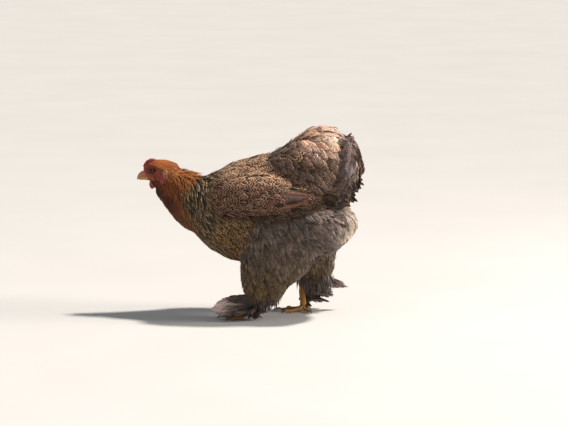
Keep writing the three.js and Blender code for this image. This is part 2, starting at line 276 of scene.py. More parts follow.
def along_layer(mesh, values):
    """A value from 0 to 1 at each vertex, by which the piece's material changes."""
    mesh.attributes.new("along", "FLOAT", "POINT").data.foreach_set("value", values)


def mesh_of(name, co, corners_of_faces, sizes_of_faces):
    """A mesh from places, the flat list of face corners, and each face's corner count."""
    mesh = bpy.data.meshes.new(name)
    mesh.vertices.add(len(co))
    mesh.vertices.foreach_set("co", co.ravel())
    mesh.loops.add(len(corners_of_faces))
    mesh.loops.foreach_set("vertex_index", corners_of_faces)
    mesh.polygons.add(len(sizes_of_faces))
    mesh.polygons.foreach_set("loop_start", np.r_[0, np.cumsum(sizes_of_faces)[:-1]])
    mesh.update(calc_edges=True)
    mesh.validate()
    return mesh


def piece(obj, material, slot, *replaced):
    """Finishes a piece: smooth, with its material, riding on the hen's one body, in place of CAD nodes."""
    obj.data.shade_smooth()
    obj.data.materials.append(material)
    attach(obj, "root")
    if replaced:
        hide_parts(*replaced)


# ------------------------------------------------------------------ materials


class Shader:
    """A short way to write node trees."""

    def __init__(self, name, **uniform):
        self.material = bpy.data.materials.new(name)
        self.material.use_nodes = True
        self.tree = self.material.node_tree
        self.surface = self.tree.nodes["Principled BSDF"]
        for socket, value in uniform.items():
            self.surface.inputs[socket.replace("_", " ")].default_value = value

    def node(self, kind, out=0, ins=(), **settings):
        made = self.tree.nodes.new("ShaderNode" + kind)
        for key, value in settings.items():
            setattr(made, key, value)
        for key, value in dict(ins).items():
            self.put(made.inputs[key], value)
        return made.outputs[out]

    def put(self, socket, value):
        if isinstance(value, bpy.types.NodeSocket):
            self.tree.links.new(value, socket)
        elif hasattr(socket.default_value, "__len__") and len(socket.default_value) == 4:
            socket.default_value = (*value[:3], 1)
        else:
            socket.default_value = value

    def layer(self, name, out="Fac"):
        return self.node("Attribute", out=out, attribute_name=name)

    def math(self, operation, *values):
        return self.node("Math", ins=enumerate(values), operation=operation)

    def times(self, a, b):
        return self.math("MULTIPLY", a, b)

    def mix(self, share, a, b):
        return self.node("Mix", out=2, ins={0: share, 6: a, 7: b}, data_type="RGBA")

    def ramp(self, value, low, high, to_low=0.0, to_high=1.0):
        ins = enumerate((value, low, high, to_low, to_high))
        return self.node("MapRange", ins=ins, interpolation_type="SMOOTHSTEP")

    def place(self):
        return self.node("TexCoord", out="Object")

    def noise(self, scale, detail=3.0, where=None):
        ins = {"Scale": scale, "Detail": detail, "Vector": where or self.place()}
        return self.node("TexNoise", out="Fac", ins=ins)

    def cells(self, scale):
        return self.node("TexVoronoi", ins={"Scale": scale, "Vector": self.place()})

    def bump(self, height, strength, distance):
        ins = {"Height": height, "Strength": strength, "Distance": distance}
        self.put(self.surface.inputs["Normal"], self.node("Bump", ins=ins))

    def finish(self, colour, roughness=None):
        self.put(self.surface.inputs["Base Color"], colour)
        if roughness is not None:
            self.put(self.surface.inputs["Roughness"], roughness)
        return self.material


def plumage(name, pattern, sheen=0.04, bands=14.5, lace_and_glow=0.0):
    """Feathers: the ground and mark colours of each, its pattern along the vane, its shaft and barbs, and for
    some a pale fringe that is partly their own edging and partly painted glow of lit edges.
    """
    s = Shader(name, Sheen_Weight=sheen, Sheen_Roughness=0.4, Specular_IOR_Level=0.22)
    ground, mark = s.layer("ground", "Color"), s.layer("mark", "Color")
    uv = s.node("SeparateXYZ", ins={0: s.node("UVMap", uv_map="Vane")}, out=0).node
    from_side, along = uv.outputs[0], uv.outputs[1]
    across = s.math("ABSOLUTE", s.math("MULTIPLY_ADD", from_side, 2.0, -1.0))
    wobble = s.math("MULTIPLY_ADD", s.noise(230.0, 2.0), 0.36, -0.18)
    pencilled = pattern == "pencilled"
    round_from = 0.64 if pencilled else 0.42
    tipward = s.math("MAXIMUM", s.math("SUBTRACT", along, round_from), 0.0)
    tipward = s.math("DIVIDE", tipward, 1.0 - round_from)
    sideways = s.times(across, 0.74 if pencilled else 1.0)
    shape = s.math("ADD", s.times(sideways, sideways), s.times(tipward, tipward))
    ring = s.math("ADD", s.math("SQRT", shape), wobble)
    barbs_along = s.times(along, 150.0)
    if pencilled:
        wave = s.math("SINE", s.times(ring, bands))
        marked = s.times(s.ramp(wave, -0.75, 0.05), s.ramp(along, 0.05, 0.3))
    elif pattern == "hackle":
        marked = s.times(s.ramp(ring, 0.92, 0.76), s.ramp(along, 0.02, 0.2))
    elif pattern == "barred":
        wave = s.math("SINE", s.math("ADD", barbs_along, s.times(wobble, 14.0)))
        bars = s.times(s.ramp(wave, -0.4, 0.5), s.ramp(across, 0.2, 0.7))
        web = s.times(s.ramp(from_side, 0.7, 0.8), 0.85)
        dark = s.math("MAXIMUM", web, s.ramp(across, 0.8, 0.95))
        marked = s.math("MAXIMUM", s.times(bars, 0.6), dark)
    else:
        marked = s.times(s.ramp(s.noise(90.0, 3.0), 0.42, 0.66), 0.55)
    colour = s.mix(marked, ground, mark)
    # Pale edges and tips: partly the feathers' own pale fringe, partly painted glow of sunlit and backlit
    # feather edges.
    if lace_and_glow:
        edge = s.math("MAXIMUM", s.ramp(across, 0.8, 0.95), s.ramp(along, 0.88, 0.97))
        colour = s.mix(s.times(edge, lace_and_glow), colour, rgb("c9ab93"))
    shaft = s.times(s.ramp(across, 0.09, 0.03), s.ramp(along, 0.95, 0.6))
    colour = s.mix(s.times(shaft, 0.25), colour, rgb("c9a070"))
    barb = s.math("SINE", s.math("ADD", barbs_along, s.times(across, -42.0)))
    colour = s.mix(s.ramp(barb, -1.0, 1.0, 0.0, 0.16), colour, (0, 0, 0))
    colour = s.mix(s.ramp(s.noise(38.0, 2.0), 0.3, 0.75, 0.0, 0.18), colour, (0.02, 0.012, 0.008))
    s.bump(s.math("ADD", barb, s.times(shaft, 2.0)), 0.35, 0.15 * MM)
    return s.finish(colour, s.ramp(barb, -1.0, 1.0, 0.52, 0.68))


def moist(s, weight, scale, radius):
    """Lets light into living skin."""
    for socket, value in (("Weight", weight), ("Scale", scale), ("Radius", radius)):
        s.surface.inputs["Subsurface " + socket].default_value = value


def bare_skin():
    """The skin under the coat and on the face: its own colours, with fine grain."""
    s = Shader("bare_skin", Specular_IOR_Level=0.38)
    moist(s, 0.12, 0.002, (1.0, 0.35, 0.2))
    blotch = s.ramp(s.noise(160.0, 4.0), 0.38, 0.68, 0.0, 0.6)
    grain = s.cells(900.0)
    s.bump(s.math("ADD", grain, s.noise(420.0, 3.0)), 0.35, 0.35 * MM)
    colour = s.mix(blotch, s.layer("ground", "Color"), s.layer("mark", "Color"))
    return s.finish(colour, s.ramp(grain, 0.0, 0.8, 0.6, 0.46))


def fleshy(name, light, deep):
    """Comb, wattles and lobes: red, finely beaded."""
    s = Shader(name, Specular_IOR_Level=0.42)
    moist(s, 0.18, 0.003, (1.0, 0.3, 0.18))
    beads = s.cells(620.0)
    colour = s.mix(s.ramp(s.noise(120.0, 4.0), 0.35, 0.68), rgb(light), rgb(deep))
    colour = s.mix(s.ramp(beads, 0.35, 0.8, 0.0, 0.35), colour, rgb("4a1510"))
    s.bump(s.math("SUBTRACT", s.noise(300.0, 3.0), beads), 0.5, 0.4 * MM)
    return s.finish(colour, s.ramp(beads, 0.0, 0.8, 0.42, 0.6))


def horny(name, base, tip, low, high):
    """Beak and claws: streaked horn that changes colour from base to tip."""
    s = Shader(name, Specular_IOR_Level=0.45)
    streaks = s.noise(1.0, 4.0, s.node("Mapping", ins={"Vector": s.place(), "Scale": (900.0, 120.0, 120.0)}))
    run = s.math("MULTIPLY_ADD", streaks, 0.3, s.layer("along"))
    colour = s.mix(s.ramp(run, low, high), rgb(base), rgb(tip))
    colour = s.mix(s.ramp(streaks, 0.4, 0.75, 0.0, 0.16), colour, rgb("3a2618"))
    s.bump(streaks, 0.2, 0.1 * MM)
    return s.finish(colour, s.ramp(streaks, 0.3, 0.7, 0.32, 0.5))


def eye_finish():
    """Pupil, iris and dark rim, by the angle from the middle of the gaze."""
    wet = {"Coat_Weight": 0.45, "Coat_Roughness": 0.02, "Coat_IOR": 1.36}
    s = Shader("eye", Specular_IOR_Level=0.1, Roughness=0.3, **wet)
    angle = s.layer("along")
    iris = s.mix(s.noise(700.0, 4.0), rgb("964614"), rgb("4e1c08"))
    iris = s.mix(s.ramp(angle, 0.62, 0.8), iris, rgb("2a0f06"))
    return s.finish(s.mix(s.ramp(angle, 0.4, 0.44), (0.002, 0.002, 0.002), iris))


def scaly():
    """Scutes of the shanks and toes: yellow-orange plates, darker in their grooves."""
    s = Shader("leg_scales", Specular_IOR_Level=0.45)
    patchy = s.ramp(s.noise(150.0, 4.0), 0.35, 0.7)
    colour = s.mix(patchy, rgb("b27c2e"), rgb("8c5a20"))
    colour = s.mix(s.ramp(s.layer("along"), 0.55, 1.0, 0.0, 0.7), colour, rgb("5a3114"))
    s.bump(s.noise(800.0, 3.0), 0.3, 0.2 * MM)
    return s.finish(colour, s.ramp(patchy, 0.0, 1.0, 0.42, 0.6))


# ------------------------------------------------------------------ what grows where


LENGTH, WIDTH, SPACING, DEPTH, SWELL, GROUND, MARK = range(7)
REGIONS = {
    # In mm, the feathers' length, width and spacing, the depth of the coat, and how much the solid is
    # swelled to run into its neighbours. Then the colours of the feathers' ground and of their marks.
    "head": (7.5, 2.1, 1.5, 1.2, 0.6, "b06828", "7c421a"),
    "neck": (34.0, 8.5, 4.2, 4.5, 3.0, "9c6a34", "33230f"),
    "trunk": (34.0, 18.0, 7.6, 5.5, 6.0, "a07c4d", "281a10"),
    "wing": (34.0, 19.0, 7.8, 5.0, 1.0, "946a52", "20130b"),
    "cushion": (38.0, 20.0, 8.0, 8.5, 1.0, "826656", "3d2c24"),
    "tail": (32.0, 14.0, 6.5, 3.0, 0.6, "806e64", "3a2f2b"),
    "thigh": (25.0, 9.5, 5.2, 7.0, 6.0, "695848", "3a2e27"),
    "fluff": (27.0, 9.5, 5.2, 9.0, 6.0, "706058", "423734"),
    "leg": (4.0, 2.5, 3.0, 0.7, 0.4, "a8762c", "7c5220"),
}
KINDS = tuple(REGIONS)
LEG_NODES = {side: [f"shank_{side}", *(f"toe_{toe}_{side}" for toe in TOES)] for side in SIDES}
NODES = {kind: [kind] for kind in KINDS}
NODES["head"] += [f"eye_{side}" for side in SIDES]
NODES["leg"] = LEG_NODES["left"] + LEG_NODES["right"]
for paired in ("wing", "thigh"):
    NODES[paired] = [f"{paired}_{side}" for side in SIDES]
flesh = [name for kind in KINDS for name in NODES[kind]]

eye_at = centre("eye_left")
eye_low, eye_high = corners("eye_left")
eye_radius = (eye_high[2] - eye_low[2]) / 2
beak_root = corners("beak_upper")[1][0]
beak_mid = np.array([beak_root, 0, centre("beak_upper")[2]])


def by_region(share, column):
    """A number or colour of REGIONS at each point, blended where regions meet."""
    values = [REGIONS[kind][column] for kind in KINDS]
    return share @ np.array([rgb(v) for v in values] if column in (GROUND, MARK) else values)


def signed_distance(names, points, far):
    """Distance from points to the nearest of these nodes, below zero inside; `far` where it is more."""
    least = np.full(len(points), far)
    for name in names:
        low, high = corners(name)
        tree = tree_of(name)
        for i in np.flatnonzero(((points > low - far) & (points < high + far)).all(1)):
            p = Vector(points[i])
            place, normal, _, away = tree.find_nearest(p)
            least[i] = min(least[i], -away if (p - place).dot(normal) < 0 else away)
    return least


def shares_of(points):
    """How much each region has of each point: one row per point, one column per region."""
    far, softness = 25 * MM, 4 * MM
    x, z = points[:, 0], points[:, 2]
    away = np.stack([signed_distance(NODES[kind], points, far) for kind in KINDS], 1)
    weight = np.exp(-(away - away.min(1, keepdims=True)) / softness)
    part = dict(zip(KINDS, weight.T))
    part["neck"] *= ramp(x, -0.182, -0.158)
    part["head"] += 1e-9
    cape = fall(x, -0.08, -0.064) * ramp(z, 0.165, 0.19)
    behind = ramp(x, -0.01, 0.03) * fall(z, 0.205, 0.225)
    for taker, giver, taken in (("neck", "trunk", cape), ("neck", "wing", cape), ("fluff", "trunk", behind)):
        part[taker] += taken * part[giver]
        part[giver] *= 1 - taken
    return weight / weight.sum(1, keepdims=True)


def lie(points, normals, share):
    """The way the feathers lie: along the body from the bill, down the breast and thighs, up the tail."""
    x, y = points[:, 0], points[:, 1]
    breast = fall(x, -0.115, -0.03)
    ways = {
        "head": (points - beak_mid + np.array([-4 * MM, 0, 0])).T,
        "neck": (0.55, 0.12 * np.sign(y), -0.84 - 0.1 * breast),
        "trunk": (1 - 0.55 * breast, 0, -0.12 - 0.8 * breast),
        "wing": (1, 0, -0.04),
        "cushion": (0.8, 0, -0.55),
        "tail": (0.3, 0, 1),
        "thigh": (0.3, 0, -1),
        "fluff": (0.75, 0, -0.6 - 0.3 * ramp(x, 0.15, 0.22)),
        "leg": (0.1, 0, -1),
    }
    total = 0
    for kind, amount in zip(KINDS, share.T):
        total = total + amount[:, None] * unit(np.stack([0 * x + way for way in ways[kind]], 1))
    return flat(total, normals)


def bare_face(points, reach=1.0):
    """1 on the bare red face round the eye and behind the bill, 0 in the feathers."""
    x, y, z = ((points - np.array([eye_at[0], 0, eye_at[2]])) / MM).T
    round_eye = np.hypot((x + 2) / 13.5, (z + 2.5) / 10.5)
    lobe = np.hypot((x - 14) / 9, (z + 10) / 12)
    chin = np.hypot((x + 6) / 10, (z + 18) / 9)
    front = np.hypot((x + 16) / 11, (z + 4) / 17)
    edge = np.minimum(np.minimum(round_eye, lobe), np.minimum(chin, front))
    on_side = np.maximum(ramp(np.abs(y), 3.0, 6.0), ramp(x, -8.0, -11.0))
    return fall(edge, reach - 0.12, reach + 0.12) * on_side * ramp(points[:, 0], -0.14, -0.16)


def mottled(points, size):
    """A smooth mottle from -1 to 1 over the body, of about this size."""
    x, y, z = (points / size).T
    return np.sin(x * 1.7 + np.sin(z * 2.1)) * np.sin(z * 1.9 + np.sin(y * 1.6 + 2) + 0.6 * np.sin(x * 1.1))


def markings(points, share):
    """Ground and mark colours at these places, the same for the skin and for the feathers on it. Over the
    plumage's own colours they carry painted sunlight on the tops, painted rim light at the rear, and painted
    shade in the creases, under the head and round the eye.
    """
    ground, mark = by_region(share, GROUND), by_region(share, MARK)
    x, z = points[:, 0], points[:, 2]
    head, neck, trunk, wing, cushion, tail, thigh, fluff, _ = share.T
    hood, tail_end = head + neck, ramp(x, 0.2, 0.222)
    slant = x + 0.35 * (z - 0.25) - 1.5 * np.maximum(z - 0.262, 0)
    nape = hood * fall(slant, -0.15, -0.1)
    throat = hood * fall(z + 0.55 * (x + 0.19), 0.256, 0.276) * fall(x, -0.165, -0.12)
    from_eye = np.hypot((x - eye_at[0] + 1 * MM) / 1.5, z - eye_at[2]) / MM
    plumage_colours = (
        (nape, "a05c29", "763c18"),
        # painted sunlight: the top of the nape made paler gold
        (nape * ramp(z, 0.272, 0.295), "bf7836", "94551f"),
        # throat: its own red-brown, made darker as painted shade under the head
        (throat, "683020", "431b14"),
        (head * ramp(z, 0.292, 0.306), "bc6c2a", "98501c"),  # crown
        (head * fall(x, -0.2, -0.18) * ramp(z, 0.286, 0.3) * 0.7, "b05426", "863818"),  # brow
        (neck * ramp(slant, -0.148, -0.122), "a07844", "0b0705"),  # lower hackle
        (neck * ramp(slant, -0.14, -0.11) * 0.8, "aa906c", "060403"),  # its silver end
        ((neck + trunk) * fall(x, -0.13, -0.085) * fall(z, 0.2, 0.235) * 0.85, "965a26", "52300f"),
        (trunk * fall(x, -0.1, -0.05) * 0.7, "a88653", "382612"),  # breast
        # painted sunlight: the top of the back and wings paler and pinker
        ((trunk + wing) * ramp(z, 0.262, 0.29) * 0.8, "dcb08e", "553a28"),  # back
        # painted sunlight: the top of the cushion paler and pinker
        (cushion * ramp(z, 0.325, 0.37) * 0.85, "f0c8ae", "a4806c"),
        # the rear of the fluff: its own pale colour, made paler still as painted rim light
        (fluff * ramp(x, 0.178, 0.212) * 0.95, "f0dcc6", "c2aa96"),  # pale rear
        (thigh * fall(z, 0.085, 0.14), "6a522e", "3a2b15"),
        (tail * ramp(z, 0.26, 0.29) * (1 - tail_end), "8f8083", "57494e"),  # grey hollow
        # the tail's upper end: its own buff edges with painted rim light
        (tail * tail_end * ramp(z, 0.27, 0.3) * 0.85, "b4988a", "65524a"),
        (tail * fall(z, 0.26, 0.29) * ramp(x, 0.19, 0.21) * 0.8, "55443c", "1f1714"),
    )
    face_colours = (
        (bare_face(points, 1.03), "84301b", "46150c"),
        # painted shade round the eye, under the brow
        (bare_face(points) * bell((from_eye - 5.5) / 2.6) * 0.75, "40201a", "26110c"),
    )

    def blend(layers):
        for amount, *codes in layers:
            for colour, code in zip((ground, mark), codes):
                colour += amount[:, None] * (rgb(code) - colour)

    blend(plumage_colours)
    loose = fluff + thigh + cushion + tail
    tone = (mottled(points, 0.024) + 0.7 * mottled(points + 0.1, 0.011)) * (0.07 + 0.16 * loose)
    # Painted shade: colours darker in the creases under the cushion and the wing, between thigh and breast,
    # at the shoulder and round the tail, where shade falls.
    painted_shade = cushion * (wing + trunk) * 2.4
    painted_shade += np.sqrt(wing) * (fluff + thigh + trunk * fall(z, 0.24, 0.26)) * 1.5
    painted_shade += (thigh + fluff) * trunk * 2.4 + cushion * fluff * 2.8
    painted_shade += neck * (wing + trunk * fall(z, 0.25, 0.27)) + tail * (cushion + fluff) * 1.3
    for colour in (ground, mark):
        colour *= (np.exp(tone) * np.clip(1 - painted_shade, 0.3, 1))[:, None]
    blend(face_colours)
    return ground, mark


# ------------------------------------------------------------------ the skin


def refined_where(obj, test, cuts, smoothing):
    """Divides the faces whose middle passes the test, then rounds them off."""
    with edited(obj.data) as bm:
        edges = {e for f in bm.faces if test(f.calc_center_median()) for e in f.edges}
        bmesh.ops.subdivide_edges(bm, edges=list(edges), cuts=cuts, use_grid_fill=True)
    co = coordinates(obj.data)
    inside = np.array([test(Vector(c)) for c in co])
    co[inside] = smoothed(obj.data, smoothing)[inside]
    move_vertices(obj.data, co)


def lids_and_face(co):
    """The eye's opening with its lids, brow, lore, and fine folds of the bare face. Everything in mm."""
    opening = 4.3
    for side in SIDES.values():
        d = (co - np.array([eye_at[0], side * abs(eye_at[1]), eye_at[2]])) / MM
        along, out, up = d[:, 0], side * d[:, 1], d[:, 2]
        near = (np.abs(along) < 16) & (np.abs(up) < 15) & (out > 0)
        corner = 0.9 * bell(up / 1.1) * ramp(np.abs(along), 2.5, 5.5)
        radius = np.hypot(along / 1.16, up * np.where(up > 0, 1.2, 1.05)) - corner
        ball = np.sqrt(np.maximum((eye_radius / MM) ** 2 - along**2 - up**2, 0))
        lid = ball + 0.2 + 0.7 * bell((radius - opening - 0.9) / 0.8)
        brow = 1.3 * bell(along / 9, (up - 8) / 2.6)
        lore = -1.0 * bell((along + 10) / 4, (up + 1) / 4)
        wavy = radius * 2.6 + 0.9 * np.sin(along * 0.9 + up * 0.5)
        folds = 0.34 * np.sin(wavy) * bell((radius - 9) / 3.8)
        folds = folds + 0.16 * np.sin(np.arctan2(up, along) * 26) * bell((radius - 6.6) / 1.5)
        wanted = out + brow + lore + folds
        rim = fall(radius, opening + 0.8, opening + 3.4)
        wanted = wanted * (1 - rim) + np.maximum(lid, 0) * rim
        shut = ramp(radius, opening - 0.25, opening + 0.35)
        wanted = np.where(radius < opening + 0.35, wanted * shut + (ball - 1.6) * (1 - shut), wanted)
        co[near, 1] += side * (wanted - out)[near] * MM


swelled = {name: REGIONS[kind][SWELL] * MM for kind in KINDS if kind != "leg" for name in NODES[kind]}
skin = voxel_skin("skin", swelled, 3.2 * MM, 3)
head_end, head_floor = eye_at[0] + 32 * MM, 0.235
eye_zone, half_skull = 11 * MM, 8 * MM


def on_head(p):
    return p.x < head_end and p.z > head_floor


def round_an_eye(p):
    return math.hypot(p.x - eye_at[0], p.z - eye_at[2]) < eye_zone and abs(p.y) > half_skull


refined_where(skin, on_head, 3, 8)
refined_where(skin, round_an_eye, 1, 2)
with edited(skin.data) as bm:
    for side in SIDES:
        leg = voxel_skin("leg", {name: REGIONS["leg"][SWELL] * MM for name in LEG_NODES[side]}, 1.2 * MM, 2)
        bm.from_mesh(leg.data)
        bpy.data.objects.remove(leg)
co = coordinates(skin.data)
share = shares_of(co)
depth = (by_region(share, DEPTH) * (1 - 0.75 * bare_face(co)) + by_region(share, SWELL)) * MM
co = co - normals_of(skin.data) * depth[:, None]
move_vertices(skin.data, co)
on_leg = share[:, KINDS.index("leg")] > 0.5
co = np.where(on_leg[:, None], co, smoothed(skin.data, 3))
lids_and_face(co)
co[:, 2] = np.maximum(co[:, 2], 0.2 * MM)
move_vertices(skin.data, co)

bpy.context.view_layer.objects.active = skin
skin.select_set(True)
skin.data.uv_layers.new(name="OFBake")
bpy.ops.object.mode_set(mode="EDIT")
bpy.ops.mesh.select_all(action="SELECT")
bpy.ops.uv.smart_project(angle_limit=1.15, island_margin=0.002, scale_to_bounds=False)
bpy.ops.object.mode_set(mode="OBJECT")

body = Surface(skin.data)
body.share = shares_of(body.co)
body.depth = by_region(body.share, DEPTH) * MM
body.flow = lie(body.co, body.normal, body.share)
for _ in range(12):
    body.flow = flat(body.flow + 0.5 * neighbour_sums(skin.data, body.flow), body.normal)
uv_of_corners = read(skin.data.uv_layers["OFBake"].data, "uv", float, 2)
unwrap = uv_of_corners[read(skin.data.loop_triangles, "loops", int)]
for name, values in zip(("ground", "mark"), markings(body.co, body.share)):
    colour_layer(skin.data, name, values)


# ------------------------------------------------------------------ the coat


form = tree_of(*flesh)


def turned(v, axis, angle):
    """v turned about a unit axis by an angle each."""
    cos, sin = np.cos(angle)[:, None], np.sin(angle)[:, None]
    return v * cos + np.cross(axis, v) * sin + axis * (v * axis).sum(1, keepdims=True) * (1 - cos)


def traced(roots, normals, heading, length, steps, stiff):
    """Paths over the skin: each goes on straight where the skin turns away from under it."""
    here, normal, ahead = roots, normals, heading
    places, ups, depths = [roots], [normals], []
    for _ in range(steps):
        straight = here + ahead * (length / steps)[:, None]
        snapped, n, where = body.nearest(straight)
        hold = ramp(1 - (n * normals).sum(1), 0.25, 0.8)[:, None]
        there = snapped * (1 - hold) + straight * hold
        normal = unit(n * (1 - hold) + normal * hold)
        along = body.blend(body.flow, *where)
        step = unit(there - here)
        ahead = unit(stiff * step + (1 - stiff) * (along * (1 - hold) + step * hold))
        ahead = flat(ahead, normal)
        here = there
        places.append(here)
        ups.append(normal)
        depths.append(body.blend(body.depth, *where))
    ups = np.stack(ups, 1)
    ups[:, 1:-1] = unit(ups[:, :-2] + 2 * ups[:, 1:-1] + ups[:, 2:])
    return np.stack(places, 1), ups, np.stack(depths[:1] + depths, 1)


def kept_inside(places, ups, heights, allowed):
    """The share of each path that stays within `allowed` of the CAD's own surface."""
    steps = places.shape[1] - 1
    keep = np.ones(len(places))
    tops = places + ups * heights[..., None]
    for i, path in enumerate(tops[:, 1:].tolist()):
        for k, p in enumerate(path):
            p = Vector(p)
            place, normal, _, away = form.find_nearest(p)
            if away > allowed and (p - place).dot(normal) > 0:
                keep[i] = max((k + 0.5) / steps, 0.35)
                break
    return keep


def vane_faces(rows, cells):
    """The faces of a closed vane: a root, `rows` rings of 2 x `cells` corners, and a tip."""
    ring = 2 * cells
    last = 1 + (rows - 1) * ring
    faces = []
    for order in ([*range(cells + 1)], [cells, *range(cells + 1, ring), 0]):
        for a, b in zip(order[:-1], order[1:]):
            faces.append((0, 1 + a, 1 + b))
            for here in range(1, last, ring):
                faces.append((here + a, here + ring + a, here + ring + b, here + b))
            faces.append((last + a, 1 + rows * ring, last + b))
    return faces


# At each vertex of the skin: its place, its regions, the kind of its feathers, loosely mixed where soft
# regions meet, and their sizes, which grow down the neck and shrink round the eye.
x, y, z = body.co.T
bare = bare_face(body.co)
from_eye = np.hypot(x - eye_at[0], z - eye_at[2])
head, neck, trunk, _, _, tail, *_ = body.share.T
loosely = body.share + np.random.default_rng(5).uniform(0, 0.5, body.share.shape) * (body.share > 0.04)
crisp = (body.share[:, [KINDS.index(k) for k in ("head", "neck", "leg", "wing")]]).max(1) > 0.12
kind_of = np.where(crisp, body.share.argmax(1), loosely.argmax(1))
span = {column: by_region(body.share, column) * MM for column in (LENGTH, WIDTH, SPACING)}
neck_run = ramp(x, eye_at[0] + 0.02, -0.07)
for column, ahead, behind in ((LENGTH, 11, 48), (WIDTH, 2.6, 12.0), (SPACING, 1.9, 6.8)):
    span[column] = span[column] * (1 - neck) + neck * (ahead + (behind - ahead) * neck_run) * MM
span[LENGTH] *= 1 - 0.45 * neck * neck_run * fall(z, 0.17, 0.24)
span[LENGTH] *= 1 + 0.15 * (trunk * ramp(z, 0.24, 0.28))
for column in span:
    span[column] *= 1 - head * (1 - (ramp(from_eye, 0.008, 0.045) * 0.45 + 0.55))


def is_kind(*kinds):
    return np.isin(kind_of, [KINDS.index(k) for k in kinds])


def evenly(wanted, spacing, seed):
    """Roots this many mm apart wherever `wanted` holds."""
    return body.scatter(wanted, np.full(len(body.co), spacing * MM), seed)


OUTLINES = {
    # How far a vane widens from its root and narrows to its tip, in lengths, with the powers that round it.
    "hackle": (0.3, 0.7, 0.62, 0.75),
    "strand": (0.4, 0.5, 0.6, 1),
    "quill": (0.12, 0.6, 0.13, 0.5),
    "vane": (0.32, 0.6, 0.42, 0.5),
}


def outline(kind, t):
    """Half-width of a vane at t along it, 1 at the widest."""
    widens, root_power, narrows, tip_power = OUTLINES[kind]
    return np.clip(t / widens, 0, 1) ** root_power * np.clip((1 - t) / narrows, 0, 1) ** tip_power


def plain(count, *codes):
    """Ground and mark colours that are the same for `count` feathers."""
    return tuple(np.tile(rgb(code), (count, 1)) for code in codes)


